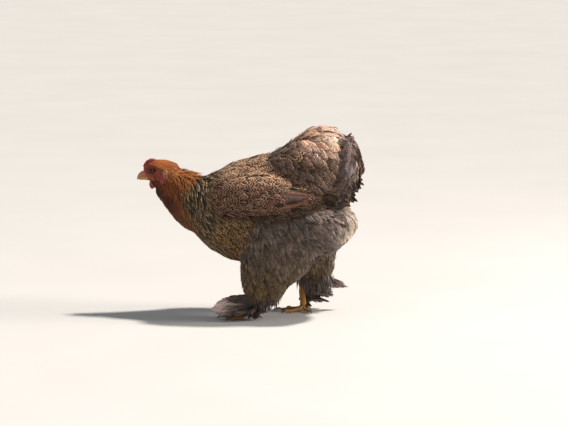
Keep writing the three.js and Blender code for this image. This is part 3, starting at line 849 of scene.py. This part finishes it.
class Coat:
    """Gathers vanes and makes one piece of them."""

    def __init__(self, name, seed):
        self.name, self.seed, self.dice, self.batches = name, seed, np.random.default_rng(seed), []

    def jittered(self, values):
        return values * self.dice.uniform(0.88, 1.12, len(values))

    def strewn(self, way, spread, count):
        """Headings strewn about a way."""
        return unit(way + self.dice.normal(0, spread, (count, 3)))

    def paths(self, roots, where, length, steps, stiff, turn, lift, rise, heading, allowed):
        """Paths along the lie of the coat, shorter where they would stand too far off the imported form."""
        normals = unit(body.blend(body.normal, *where))
        ahead = unit(body.blend(body.flow, *where) if heading is None else heading)
        ahead = turned(ahead, normals, self.dice.normal(0, turn, len(roots)))
        places, ups, depths = traced(roots, normals, ahead, length, steps, stiff)
        rising = depths * lift * (1 - (1 - np.linspace(0, 1, steps + 1)) ** rise)
        keep = kept_inside(places, ups, rising, allowed)
        cut = np.flatnonzero(keep < 1)
        if len(cut):
            shorter = traced(roots[cut], normals[cut], ahead[cut], (length * keep)[cut], steps, stiff)
            places[cut], ups[cut], depths[cut] = shorter
        return places, ups, depths

    def grow(self, roots, where, kind, length, width, rows=5, cells=4, rise=1.6, slack=0.6, stiff=0.6,
             turn=0.12, lift=1.0, fray=0.0, tone=0.12, thick=0.25, camber=0.14, colours=None, heading=None,
             path=None, roll=0.05, tips=None, allowed=2.5 * MM, clump=0.0):
        """Vanes of these lengths and widths, in metres, from roots on the skin, along its lie."""
        n, dice = len(roots), self.dice
        if path is None:
            found = self.paths(roots, where, length, max(rows, 3), stiff, turn, lift, rise, heading, allowed)
            places, ups, depths = found
        else:
            places, facing = path
            ups, depths = np.repeat(facing[:, None], places.shape[1], 1), np.zeros(places.shape[:2])
        steps = places.shape[1] - 1

        # A vane's middle line, with the ways up and across at each ring.
        t = np.linspace(0, 1, steps + 1)
        slackness = 1 + slack * dice.uniform(-0.16, 0.2, n) + clump * mottled(roots, 0.013)
        height = depths * lift * slackness[:, None] * (1 - (1 - t) ** rise)
        height[:, 0] -= ROOT_SUNK
        spine = places + ups * height[..., None]
        at = 1 - (1 - np.linspace(0, 1, rows + 2)) ** (1.6 if rows > 2 else 1)
        cell = np.minimum((at * steps).astype(int), steps - 1)
        later = (at * steps - cell)[None, :, None]
        line = spine[:, cell] * (1 - later) + spine[:, cell + 1] * later
        up = unit(ups[:, cell] * (1 - later) + ups[:, cell + 1] * later)
        tangent = np.gradient(line, axis=1)
        across = unit(np.cross(up, tangent))
        up = unit(np.cross(tangent, across))
        angle = dice.normal(roll, 0.07, n)[:, None, None]
        across, up = across * np.cos(angle) + up * np.sin(angle), up * np.cos(angle) - across * np.sin(angle)

        # Its rings: cambered, thickest at the shaft, with a ragged edge swept back behind the middle.
        ring = 2 * cells
        u = np.r_[np.linspace(-1, 1, cells + 1), np.linspace(1, -1, cells + 1)[1:-1]]
        top = np.r_[np.ones(cells + 1), -np.ones(cells - 1)]
        v = at[1:-1]
        half = outline(kind, v)[None, :, None] * width[:, None, None] / 2
        side = u * half * (1 + fray * dice.uniform(-1, 0.6, (n, rows, ring)) * (np.abs(u) > 0.9))
        drop = -camber * u**2 * half + thick * MM * (1 - u**2) * top * (1 - 0.6 * v[:, None])
        slide = -(np.abs(u) ** 1.5) * half * 0.35 * (v[:, None] > 0.5)
        if fray:
            slide = slide + fray * 0.5 * half * dice.uniform(-1, 1, (n, rows, ring)) * (np.abs(u) > 0.4)
        rings = line[:, 1:-1, None] + across[:, 1:-1, None] * side[..., None]
        rings = rings + up[:, 1:-1, None] * drop[..., None]
        rings = rings + unit(tangent[:, 1:-1])[:, :, None] * slide[..., None]
        points = np.concatenate([line[:, :1], rings.reshape(n, rows * ring, 3), line[:, -1:]], 1)

        # Its maps and colours.
        if colours is None:
            colours = markings(roots, body.blend(body.share, *where))
        shade = np.exp(dice.normal(0, tone, n))[:, None]
        warm = dice.normal(0, tone * 0.35, n)[:, None] * np.array([1.0, 0.0, -1.0])
        vane = np.c_[np.r_[0.5, np.tile(u / 2 + 0.5, rows), 0.5], np.r_[0, np.repeat(v, ring), 1]]
        tri, part = where
        root_uv = np.einsum("nk,nkj->nj", part, unwrap[tri])
        colours = [np.clip(c * shade * (1 + warm), 0, 1)[:, None] + 0 * vane[:, :1] for c in colours]
        if tips is not None:
            code, amount, start = tips
            much = (amount[:, None] * ramp(vane[:, 1], start, 0.97))[..., None]
            colours = [c + much * (rgb(code) * dim - c) for c, dim in zip(colours, (1, 0.8))]
        self.batches.append((points, vane_faces(rows, cells), vane, root_uv, *colours))

    def cover(self, wanted, kind="vane", seed=None, dense=1.0, longer=1.0, wider=1.0, **how):
        """Feathers of the body's own sizes where `wanted` holds, but for the bare face."""
        roots, where = body.scatter(wanted & (bare < 0.5), span[SPACING] * dense, seed or self.seed)
        length, width = (self.jittered(body.blend(span[column], *where)) for column in (LENGTH, WIDTH))
        self.grow(roots, where, kind, length * longer, width * wider, **how)
        return self

    def wisps(self, wanted, seed, spacing, length, width, **how):
        """Fine loose wisps of down over a coat, with their sizes in mm."""
        roots, where = evenly(wanted & (bare < 0.5), spacing, seed)
        long = self.dice.uniform(length * 0.6, length * 1.15, len(roots)) * MM
        wide = self.dice.uniform(width * 0.7, width * 1.3, len(roots)) * MM
        self.grow(roots, where, "strand", long, wide, rows=2, cells=2, turn=0.5, thick=0.3, roll=0.0, **how)

    def stand(self, roots, where, heading, length, width, kind, shades, sag=0.1, **how):
        """Feathers that leave the body along their own heading, bowed outwards by `sag` of their length."""
        steps = np.linspace(0, 1, 7)[None, :, None]
        normals = unit(body.blend(body.normal, *where))
        places = roots[:, None] + (heading * length[:, None])[:, None] * steps
        places = places + (normals * (sag * length)[:, None])[:, None] * np.sin(steps * math.pi)
        self.grow(roots, where, kind, length, width, colours=plain(len(roots), *shades), tone=0.2,
                  path=(places, flat(normals, heading)), **how)

    def make(self, finish, slot, *replaced):
        """The piece, with its two maps and its colours. A vane's patch of the bake lies at its root."""
        made, offset = [], 0
        for points, faces, vane, root_uv, *colours in self.batches:
            n, count = points.shape[:2]
            order = np.concatenate([np.array(f) for f in faces])
            corner_ids = order[None] + offset + count * np.arange(n)[:, None]
            patch = root_uv[:, None] + (vane[order][None] - 0.5) * BAKE_PATCH
            made.append((
                points.reshape(-1, 3), corner_ids.ravel(), np.tile([len(f) for f in faces], n),
                np.tile(vane[order], (n, 1)), np.clip(patch, 0.0001, 0.9999).reshape(-1, 2),
                *(colour.reshape(-1, 3) for colour in colours),
            ))
            offset += n * count
        *shape, vane, bake, ground, mark = (np.concatenate(column) for column in zip(*made))
        mesh = mesh_of(self.name, *shape)
        for name, values in (("Vane", vane), ("OFBake", bake)):
            mesh.uv_layers.new(name=name).data.foreach_set("uv", values.ravel())
        colour_layer(mesh, "ground", ground)
        colour_layer(mesh, "mark", mark)
        piece(new_object(self.name, mesh), FINISHES[finish], slot, *replaced)


FINISHES = {
    "gold": plumage("gold_feathers", "hackle"),
    "pencilled": plumage("pencilled_feathers", "pencilled"),
    "laced_and_glowing": plumage("laced_glowing_feathers", "pencilled", bands=17.0, lace_and_glow=0.22),
    "barred": plumage("wing_feathers", "barred"),
    "soft": plumage("soft_feathers", "down", sheen=0.25),
}
VANE = {"rows": 6, "cells": 4, "fray": 0.1}


def bristles():
    """Short hair-like feathers on the bare face."""
    coat = Coat("coat_face", 41)
    bristly = (bare > 0.4) & (from_eye > 6.5 * MM) & (x > beak_root + 3 * MM) & (np.abs(y) > 5 * MM)
    roots, where = evenly(bristly, 1.9, 42)
    length = coat.dice.uniform(2.0, 3.4, len(roots)) * MM
    coat.grow(roots, where, "strand", length, np.full(len(roots), 0.45 * MM), rows=2, cells=2, turn=0.35,
              thick=0.18, lift=0.9, colours=plain(len(roots), "8c4a22", "3c1c0e"))
    return coat


def ear_tufts():
    """The pale feathers that cover the ears."""
    coat, count = Coat("coat_ears", 43), 80
    for sign in SIDES.values():
        spots = coat.dice.uniform(-1, 1, (count, 2)) * np.array([4.0, 10.0]) * MM + np.array([0.031, -0.002])
        seeds = np.c_[eye_at[0] + spots[:, 0], np.full(count, sign * 0.03), eye_at[2] + spots[:, 1]]
        roots, _, where = body.nearest(seeds)
        heading = coat.strewn(np.array([0.2, sign * 0.35, -1.0]), 0.1, count)
        long = coat.dice.uniform(6, 11, count) * MM
        coat.stand(roots, where, heading, long, np.full(count, 1.2 * MM), "strand", ("cda27a", "9c7048"),
                   sag=0.2, rows=4)
    return coat


def wing_coat(side, mine):
    """The wing's coverts, but for a gap that the quills cross, and the thicker ones of its shoulder."""
    gap = (x >= 0.078) & (x <= 0.106)
    shoulder = is_kind("wing", "trunk", "neck") & mine & (np.abs(y) > 0.04)
    shoulder &= within(x, -0.078, -0.034) & within(z, 0.25, 0.29)
    coat = Coat(f"coat_wing_{side}", 15).cover(is_kind("wing") & mine & ~gap, **VANE)
    return coat.cover(shoulder, seed=29, dense=0.8, lift=1.3, allowed=4 * MM, **VANE)


def quills(side, sign):
    """The folded flight feathers, from the lowest to the highest."""
    coat, count = Coat(f"quills_{side}", 16), 11
    step = np.linspace(0, 1, count)
    seeds = np.c_[0.03 + 0.02 * step, np.full(count, sign * 0.13), 0.222 + 0.056 * step]
    roots, _, where = body.nearest(seeds)
    heading = np.c_[np.ones(count), np.zeros(count), 0.1 - 0.16 * step]
    heading = flat(heading, unit(body.blend(body.normal, *where)))
    ground, mark = plain(count, "8a5c46", "1c100c")
    coat.grow(roots, where, "quill", (106 - 12 * step) * MM, np.full(count, 15 * MM), rows=9, cells=4,
              turn=0.02, stiff=0.95, lift=0.95, heading=heading, rise=2.5, slack=0.3,
              colours=(ground * (0.6 + 0.4 * step[:, None]), mark))
    return coat


def down_coat(kind, seed, side, mine):
    """Loose down with wisps over it, on a thigh or on one side of the fluff."""
    mass = is_kind(kind) & mine & (z < 0.236)
    coat = Coat(f"coat_{kind}_{side}", seed)
    coat.cover(mass, rows=4, fray=0.4, turn=0.3, tone=0.18, clump=0.3)
    coat.wisps(mass, seed + 1, 1.7, 17, 1.0, clump=0.3)
    return coat, mass


def skirt(coat, mass, side, sign, mine):
    """Loose down that hangs from the thigh over the shank, longer on the leg that is behind."""
    behind = side == "right"
    hem = mass & (z < (0.088 if behind else 0.06))
    hem |= is_kind("leg") & mine & (z > 0.036) & (not behind)
    roots, where = evenly(hem, 3.4, 28)
    n = len(roots)
    down = coat.strewn(np.array([0.3 if behind else -0.1, 0.1 * sign, -1.0]), 0.2, n)
    long = (38 if behind else 16) * coat.dice.uniform(0.6, 1.1, n) * MM
    long = np.minimum(long, roots[:, 2] - 9 * MM)
    wide = coat.dice.uniform(3, 7, n) * MM
    coat.stand(roots, where, down, long, wide, "strand", ("5c4f49", "352b28"), sag=0.08, rows=4, fray=0.4)


def tail_coat(hollow):
    """The tail's feathers, with dark points under their ends."""
    coat = Coat("coat_tail", 24).cover(is_kind("tail") & ~hollow, rows=6, fray=0.15)
    roots, where = evenly((tail > 0.3) & (x > 0.19) & within(z, 0.24, 0.28), 10, 27)
    n = len(roots)
    heading = np.c_[np.full(n, 0.85), 0.2 * np.sign(roots[:, 1]), np.full(n, -0.5)]
    heading = coat.strewn(unit(heading), 0.12, n)
    long = coat.dice.uniform(14, 24, n) * MM * (1 - 0.45 * ramp(roots[:, 0], 0.205, 0.222))
    wide = coat.dice.uniform(6, 9, n) * MM
    coat.stand(roots, where, heading, long, wide, "vane", ("59473f", "1a1312"), rows=6, fray=0.2)
    return coat


coat = Coat("coat_head", 11).cover(is_kind("head") & (x > beak_root + 2 * MM), rows=2, cells=2)
coat.make("gold", "gold_feathers")
bristles().make("gold", "gold_feathers")
nape = is_kind("neck") & (body.normal[:, 2] > 0.4) & within(x, -0.165, -0.125)
coat = Coat("coat_neck", 12).cover(is_kind("neck"), "hackle", turn=0.1, camber=0.2)
coat.cover(nape, "hackle", dense=0.6, longer=1.1, wider=0.75, lift=2.0, allowed=7 * MM, turn=0.15)
coat.make("gold", "gold_feathers")
ear_tufts().make("gold", "gold_feathers")
upper = z > 0.225
for name, seed, half in (("coat_back", 13, upper), ("coat_breast", 14, ~upper)):
    Coat(name, seed).cover(is_kind("trunk") & half, **VANE).make("pencilled", "pencilled_feathers")
for side, sign in SIDES.items():
    mine = y * sign > 0
    wing_coat(side, mine).make("pencilled", "wing_feathers")
    quills(side, sign).make("barred", "wing_feathers")
    coat, mass = down_coat("thigh", 17, side, mine)
    skirt(coat, mass, side, sign, mine)
    coat.make("soft", "fluff")
    coat, _ = down_coat("fluff", 19, side, mine)
    coat.make("soft", "fluff")
coat = Coat("coat_cushion", 21)
coat.cover(is_kind("cushion"), rows=6, turn=0.35, slack=1.6, fray=0.3, tone=0.22, clump=0.4)
coat.wisps(is_kind("cushion"), 25, 2.3, 17, 1.3, clump=0.4)
coat.make("laced_and_glowing", "pencilled_feathers")
hollow = is_kind("tail") & (z > 0.272) & (x < 0.215)
vent = within(tail, 0.1, 0.9) & (z < 0.285) & (x > 0.16)
coat = Coat("coat_tail_down", 22).cover(hollow, rows=4, fray=0.4, turn=0.3, wider=0.6)
coat.wisps(hollow, 23, 1.7, 20, 1.2)
coat.wisps(vent, 26, 1.9, 16, 2.4, lift=0.7)
coat.make("soft", "tail_feathers")
tail_coat(hollow).make("laced_and_glowing", "tail_feathers", "tail")


# ------------------------------------------------------------------ legs and feet


def slab(top, bottom):
    """A closed plate between two grids of places: its points, faces, and 1 along its rim."""
    rows, columns = top.shape[:2]
    below = rows * columns
    at = np.arange(below).reshape(rows, columns)
    faces = []
    for i in range(rows - 1):
        for j in range(columns - 1):
            quad = [at[i, j], at[i + 1, j], at[i + 1, j + 1], at[i, j + 1]]
            faces += [quad, [q + below for q in reversed(quad)]]
    rim = [*at[0, :], *at[1:, -1], *at[-1, -2::-1], *at[-2:0:-1, 0]]
    faces += [[a, b, b + below, a + below] for a, b in zip(rim, rim[1:] + rim[:1])]
    edge = np.zeros((rows, columns))
    edge[[0, -1], :] = 1
    edge[:, [0, -1]] = 1
    return np.r_[top.reshape(-1, 3), bottom.reshape(-1, 3)], faces, np.tile(edge.ravel(), 2)


def scutes(axis, front, half_angle, pitch, thick):
    """Overlapping plates along a limb: each covers its front, its lower edge standing off a little."""
    axis = np.array(axis)
    lengths = np.linalg.norm(np.diff(axis, axis=0), axis=1)
    run = np.r_[0, np.cumsum(lengths)] / lengths.sum()
    count = int(lengths.sum() / pitch)
    lifts = (0.1, 0.55, 0.9, 1.0, 0.75)
    feeler, sunk = 10 * MM, 0.4 * MM

    def on_axis(at):
        return np.array([np.interp(at, run, axis[:, k]) for k in range(3)])

    plates = []
    for i in range(count):
        rows = []
        for j, lift in enumerate(lifts):
            at = min((i + 1.12 * j / 4) / count, 1)
            middle = on_axis(at)
            ahead = on_axis(min(at + 0.02, 1)) - middle
            if np.linalg.norm(ahead) < 1e-6:
                ahead = axis[-1] - axis[-2]
            ahead = unit(ahead)
            f = unit(front - ahead * front.dot(ahead))
            side = np.cross(ahead, f)
            ring = []
            for a in np.linspace(-half_angle, half_angle, 9):
                out = f * math.cos(a) + side * math.sin(a)
                hit = body.tree.ray_cast(Vector(middle + out * feeler), Vector(-out), feeler)
                reach = feeler - hit[3] if hit[0] is not None else 4 * MM
                edge = math.cos(a / half_angle * math.pi / 2) ** 0.5 if abs(a) < half_angle else 0
                height = reach + lift * thick * (0.25 + 0.75 * edge)
                ring.append((middle + out * height, middle + out * (reach - sunk)))
            rows.append(ring)
        rows = np.array(rows)
        plates.append(slab(rows[:, :, 0], rows[:, :, 1]))
    return plates


def ankle_and_hock(side):
    """The middles of a shank's lower and upper ends."""
    co = coordinates(cad_mesh(f"shank_{side}"))
    low, high = corners(f"shank_{side}")
    return co[co[:, 2] < low[2] + 5 * MM].mean(0), co[co[:, 2] > high[2] - 6 * MM].mean(0)


def toe_end(side, toe, start):
    """The middle of the toe's far end."""
    co = coordinates(cad_mesh(f"toe_{toe}_{side}"))
    away = np.linalg.norm((co - start)[:, :2], axis=1)
    return co[away > away.max() - 4 * MM].mean(0)


def scales(side, ankle, hock, finish):
    """The scutes down the front of a shank and along the top of its toes."""
    plates = scutes([hock, ankle + 2 * MM * UP], np.array([-1.0, 0, 0.1]), 1.9, 5.2 * MM, 0.7 * MM)
    for toe in TOES:
        end = toe_end(side, toe, ankle)
        start = ankle + (end - ankle) * 0.1
        start[2] = 8 * MM
        middle = start + (end - start) * 0.35
        middle[2], end[2] = 5.2 * MM, 4.2 * MM
        plates += scutes([start, middle, end], UP, 1.25, 3.4 * MM, 0.5 * MM)
    co = np.concatenate([plate[0] for plate in plates])
    co[:, 2] = np.maximum(co[:, 2], 0.3 * MM)
    starts = np.cumsum([0] + [len(plate[0]) for plate in plates])
    faces = [[c + first for c in face] for plate, first in zip(plates, starts) for face in plate[1]]
    mesh = mesh_of(f"scales_{side}", co, np.concatenate(faces).astype(int), np.array([len(f) for f in faces]))
    along_layer(mesh, np.concatenate([plate[2] for plate in plates]))
    piece(new_object(mesh.name, mesh), finish, "leg_scales")


def foot_coat(side, sign, ankle, hock):
    """The feathers of a shank and foot, from the leg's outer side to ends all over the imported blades."""
    coat, behind = Coat(f"coat_foot_{side}", 31), side == "right"
    blades = Surface(cad_mesh(f"foot_feathers_{side}"))
    tri = coat.dice.choice(len(blades.area), 520, p=blades.area / blades.area.sum())
    ends = blades.blend(blades.co, tri, coat.dice.dirichlet((1, 1, 1), len(tri)))
    a, b, c = (blades.co[blades.tris[tri, k]] for k in range(3))
    faces_up = unit(np.cross(b - a, c - a))
    out = np.array([0, sign, 0.0])

    # Each grows from a spot on the leg a little above its end.
    line = (hock, ankle, toe_end(side, "middle", ankle))
    spots = np.concatenate([a + (b - a) * np.linspace(0, 1, 30)[:, None] for a, b in zip(line, line[1:])])
    nearest = np.linalg.norm(ends[:, None] - spots[None], axis=2).argmin(1)
    higher = spots[None, :, 2] > ends[:, None, 2] + 3 * MM
    last_above = np.where(higher.any(1), len(spots) - 1 - higher[:, ::-1].argmax(1), 0)
    chosen = np.maximum(np.minimum(nearest, last_above) - coat.dice.integers(2, 8, len(nearest)), 0)
    roots = spots[chosen] + out * 4 * MM
    roots[:, 2] = np.maximum(roots[:, 2], 7 * MM)
    length = np.linalg.norm(ends - roots, axis=1)
    leg_x = (ankle[2], hock[2]), (ankle[0], hock[0])
    ahead = np.interp(ends[:, 2], *leg_x) - ends[:, 0]
    far = np.flatnonzero((length > 13 * MM) & ((not behind) | (ahead < 9 * MM)))
    roots, ends, length, faces_up = roots[far], ends[far], length[far], faces_up[far]
    faces_up *= np.where((faces_up @ (out + 0.6 * UP)) < 0, -1, 1)[:, None]
    edgewise = np.abs((faces_up * unit(ends - roots)).sum(1)) > 0.6
    faces_up[edgewise] = unit(0.8 * out + 0.6 * UP)
    t = np.linspace(0, 1, 8)[None, :, None]
    bow = (roots + ends) / 2 + (0.14 * length)[:, None] * unit(0.5 * out + UP)
    places = (1 - t) ** 2 * roots[:, None] + 2 * t * (1 - t) * bow[:, None] + t**2 * ends[:, None]
    places[..., 2] = np.maximum(places[..., 2], 2.2 * MM)
    facing = coat.strewn(faces_up, 0.12, len(roots))
    if behind:
        pale = ramp(ends[:, 0], 0.145, 0.185) * 0.6
    else:
        # the near foot's front feathers: pale tips of their own, made paler as painted light from above
        pale = ramp(-ends[:, 0], 0.03, 0.055) * ramp(ends[:, 2], 0.006, 0.02)
    coat.grow(roots, body.nearest(roots)[2], "vane", length, (5 + 0.11 * length / MM) * MM, rows=6, fray=0.3,
              tone=0.2, colours=plain(len(roots), "453833", "1f1614"), roll=0.1, camber=0.25,
              path=(places, facing), tips=("f0d0c4", 0.97 * pale + 0.03, 0.25))

    # Shorter ones stand off the shank itself.
    outer = is_kind("leg") & ((body.normal @ out) > 0.15) & (y * sign > 0.04) & within(z, 0.014, 0.075)
    outer &= (x < (0.2 if behind else 0.09)) & (np.abs(x - np.interp(z, *leg_x)) < 0.011)
    roots, where = evenly(outer, 3.6, 33)
    n = len(roots)
    heading = coat.strewn(np.array([0.45, sign * 0.5, -0.75]), 0.2, n)
    steps = np.linspace(0, 1, 7)[None, :, None]
    length = coat.dice.uniform(14, 24, n) * MM
    length = np.minimum(length, (roots[:, 2] - 3 * MM) / np.maximum(-heading[:, 2], 0.3))
    places = roots[:, None] + heading[:, None] * length[:, None, None] * steps
    facing = unit(body.blend(body.normal, *where) + 0.4 * out)
    places = places + facing[:, None] * (np.sin(steps * 2.2) * 3 * MM)
    coat.grow(roots, where, "vane", length, length * 0.42, fray=0.35, tone=0.2, path=(places, facing),
              colours=plain(n, "5f4e42", "3a2e28"), tips=("a08a7c", np.full(n, 0.3), 0.6))
    coat.make("soft", "foot_feathers", f"foot_feathers_{side}")


leg_finish = scaly()
for side, sign in SIDES.items():
    ankle, hock = ankle_and_hock(side)
    scales(side, ankle, hock, leg_finish)
    foot_coat(side, sign, ankle, hock)
covered = [node for node in flesh if node != "tail" and not node.startswith("eye_")]
piece(skin, bare_skin(), "pencilled_feathers", *covered)


# ------------------------------------------------------------------ bill, eyes, comb, wattles, claws


def refined(node, voxel, rounds, material, slot, along=(1, 0, 0), shape=None, grow=0.0):
    """A smooth, fine copy of a CAD node, shaped further by `shape` and replacing the node."""
    obj = voxel_skin(f"{node}_fine", {node: grow}, voxel, rounds)
    co = coordinates(obj.data)
    low, high = co.min(0), co.max(0)
    cad_low, cad_high = corners(node)
    co = centre(node) + (co - (low + high) / 2) * ((cad_high - cad_low) / np.maximum(high - low, 1e-6))
    move_vertices(obj.data, co)
    if shape:
        move_vertices(obj.data, shape(co, normals_of(obj.data)))
    run = co @ np.array(along, float)
    along_layer(obj.data, (run - run.min()) / (run.max() - run.min()))
    piece(obj, material, slot, node)


def nostrils(co, normals):
    """A slit with a raised rim over it on each side of the bill."""
    high = corners("beak_upper")[1]
    x, y, z = ((co - np.array([high[0] - 8.5 * MM, 0, high[2] - 9 * MM])) / MM).T
    slope = z - 0.15 * x
    pit = bell((x / 2.4) ** 2, (slope / 0.9) ** 2)
    rim = bell((x / 3.4) ** 2, (slope - 1.6) / 0.9)
    return co + normals * ((0.45 * rim - 1.7 * pit) * ramp(np.abs(y), 1.5, 3) * MM)[:, None]


def closing(co, normals):
    """Brings the lower half of the bill up against the upper half."""
    low, high = corners("beak_lower")
    ahead = fall(co[:, 0], low[0] + 1 * MM, high[0] - 4 * MM)
    lift = 1.9 * ahead * ramp(normals[:, 2], -0.3, 0.4)
    return co + np.c_[-0.9 * ahead, 0 * lift, lift] * MM


def beaded(co, normals):
    """Fine rounded bumps."""
    x, y, z = (co / MM).T
    bump = np.sin(x * 1.9) * np.sin(y * 2.3 + 1) * np.sin(z * 2.1 + 2)
    return co + normals * (0.35 * MM * bump)[:, None]


def seated(co, normals):
    """Sinks the comb's underside into the crown, so that its ridges grow out of the skin."""
    place, out, _ = body.nearest(co)
    below = ramp(-(normals * out).sum(1), -0.5, 0.2)
    return beaded(co + (place - 1.0 * MM * out - co) * below[:, None], normals)


def folded(co, normals):
    """Soft upright folds down an ear lobe."""
    low = co.min(0)
    fold = np.sin((co[:, 0] - low[0] + 0.12 * (co[:, 2] - low[2])) / MM * 2.6)
    return beaded(co, normals) + normals * (0.3 * MM * fold)[:, None]


def reaching_back(toe):
    """Draws out a claw's root over the end of its toe."""

    def shape(co, normals):
        middle = co.mean(0)
        ahead = unit(middle - centre(toe))
        run = (co - middle) @ ahead
        behind = np.clip(-run / -run.min(), 0, 1)
        return co - ahead * (behind * 3.4 * MM)[:, None]

    return shape


def eyeball(side, sign, material):
    """A ball with a slight bulge in front, looking a little ahead, coloured by the angle from its gaze."""
    mesh = bpy.data.meshes.new(f"eye_{side}_fine")
    turn = Vector((-0.22, sign, 0.03)).normalized().to_track_quat("Z", "Y").to_matrix()
    angles = []
    with edited(mesh) as bm:
        bmesh.ops.create_uvsphere(bm, u_segments=40, v_segments=28, radius=1)
        for v in bm.verts:
            angle = math.acos(max(-1, min(1, v.co.z)))
            angles.append(angle / (math.pi / 2))
            v.co *= eye_radius * (1 + 0.05 * math.exp(-((angle / 0.45) ** 2)))
            v.co = turn @ v.co + Vector(centre(f"eye_{side}"))
    along_layer(mesh, angles)
    piece(new_object(mesh.name, mesh), material, "eye", f"eye_{side}")


red = fleshy("red_skin", "a03a26", "641c12")
lobe_skin = fleshy("lobe_skin", "8e3f30", "571f19")
upper_bill = horny("horn", "ac5040", "96704a", 0.2, 1.0)
lower_bill = horny("pale_horn", "b0703a", "9c7a4c", 0.3, 1.1)
claw = horny("claw", "8a6a48", "4a3a2c", 0.2, 0.9)
refined("beak_upper", 0.5 * MM, 9, upper_bill, "horn", (-1, 0, 0), nostrils)
refined("beak_lower", 0.5 * MM, 9, lower_bill, "horn", (-1, 0, 0), closing)
refined("comb", 0.7 * MM, 8, red, "red_skin", (0, 0, 1), seated, 0.9 * MM)
for side in SIDES:
    refined(f"wattle_{side}", 0.6 * MM, 8, lobe_skin, "red_skin", (0, 0, 1), beaded)
    refined(f"earlobe_{side}", 0.6 * MM, 8, lobe_skin, "red_skin", (0, 0, 1), folded)
    for toe in TOES:
        way = (1 if toe == "back" else -1, 0, 0)
        refined(f"claw_{toe}_{side}", 0.45 * MM, 2, claw, "claw", way, reaching_back(f"toe_{toe}_{side}"))
eye_material = eye_finish()
for side, sign in SIDES.items():
    eyeball(side, sign, eye_material)


# ------------------------------------------------------------------ camera, floor and light


AZIMUTH, ELEVATION = math.radians(10), math.radians(8)  # of the photo's view, from the hen's left
DISTANCE, LENS = 5.7, 177.46
AIM, ASIDE, ABOVE = (0, 0, 0.19), 0.0725, 0.0189  # what it is turned about, and where that lies in the frame

back = Vector((
    math.sin(AZIMUTH) * math.cos(ELEVATION), -math.cos(AZIMUTH) * math.cos(ELEVATION), math.sin(ELEVATION)
))
right = Vector((math.cos(AZIMUTH), math.sin(AZIMUTH), 0))
camera = new_object("camera", bpy.data.cameras.new("camera"))
camera.data.lens = LENS
camera.location = Vector(AIM) + back * DISTANCE + right * ASIDE + back.cross(right) * ABOVE
camera.rotation_euler = back.to_track_quat("Z", "Y").to_euler()
bpy.context.scene.camera = camera

floor_mesh = bpy.data.meshes.new("floor")
with edited(floor_mesh) as bm:
    bmesh.ops.create_grid(bm, x_segments=2, y_segments=2, size=60)
s = Shader("floor", Roughness=0.9, Specular_IOR_Level=0.1)
floor_mesh.materials.append(s.finish(s.mix(s.noise(3.0), (0.4, 0.39, 0.375), (0.44, 0.43, 0.415))))
new_object("floor", floor_mesh)


def lamp(name, size, power, place, tint):
    """A round lamp turned to the middle of the hen."""
    light = bpy.data.lights.new(name, "AREA")
    light.shape = "DISK"
    light.size, light.energy, light.color = size, power, tint
    obj = new_object(name, light)
    obj.location = place
    obj.rotation_euler = (Vector(place) - Vector((0, 0, 0.2))).to_track_quat("Z", "Y").to_euler()


lamp("fill", 2.4, 22, (-1.4, -2.6, 1.6), (0.95, 0.97, 1))
lamp("rim", 0.7, 60, (2.4, 0.1, 1.2), (1, 0.92, 0.84))
key = new_object("key", bpy.data.lights.new("key", "SUN"))
key.data.energy, key.data.angle, key.data.color = 6.0, math.radians(6), (1, 0.94, 0.87)
key.rotation_euler = Vector((1.1, 0.5, 2.3)).to_track_quat("Z", "Y").to_euler()
world = bpy.data.worlds.new("studio")
world.use_nodes = True
sky = world.node_tree.nodes["Background"].inputs
sky["Color"].default_value, sky["Strength"].default_value = (0.9, 0.93, 1, 1), 0.38
bpy.context.scene.world = world
bpy.context.scene.view_settings.view_transform = "Standard"
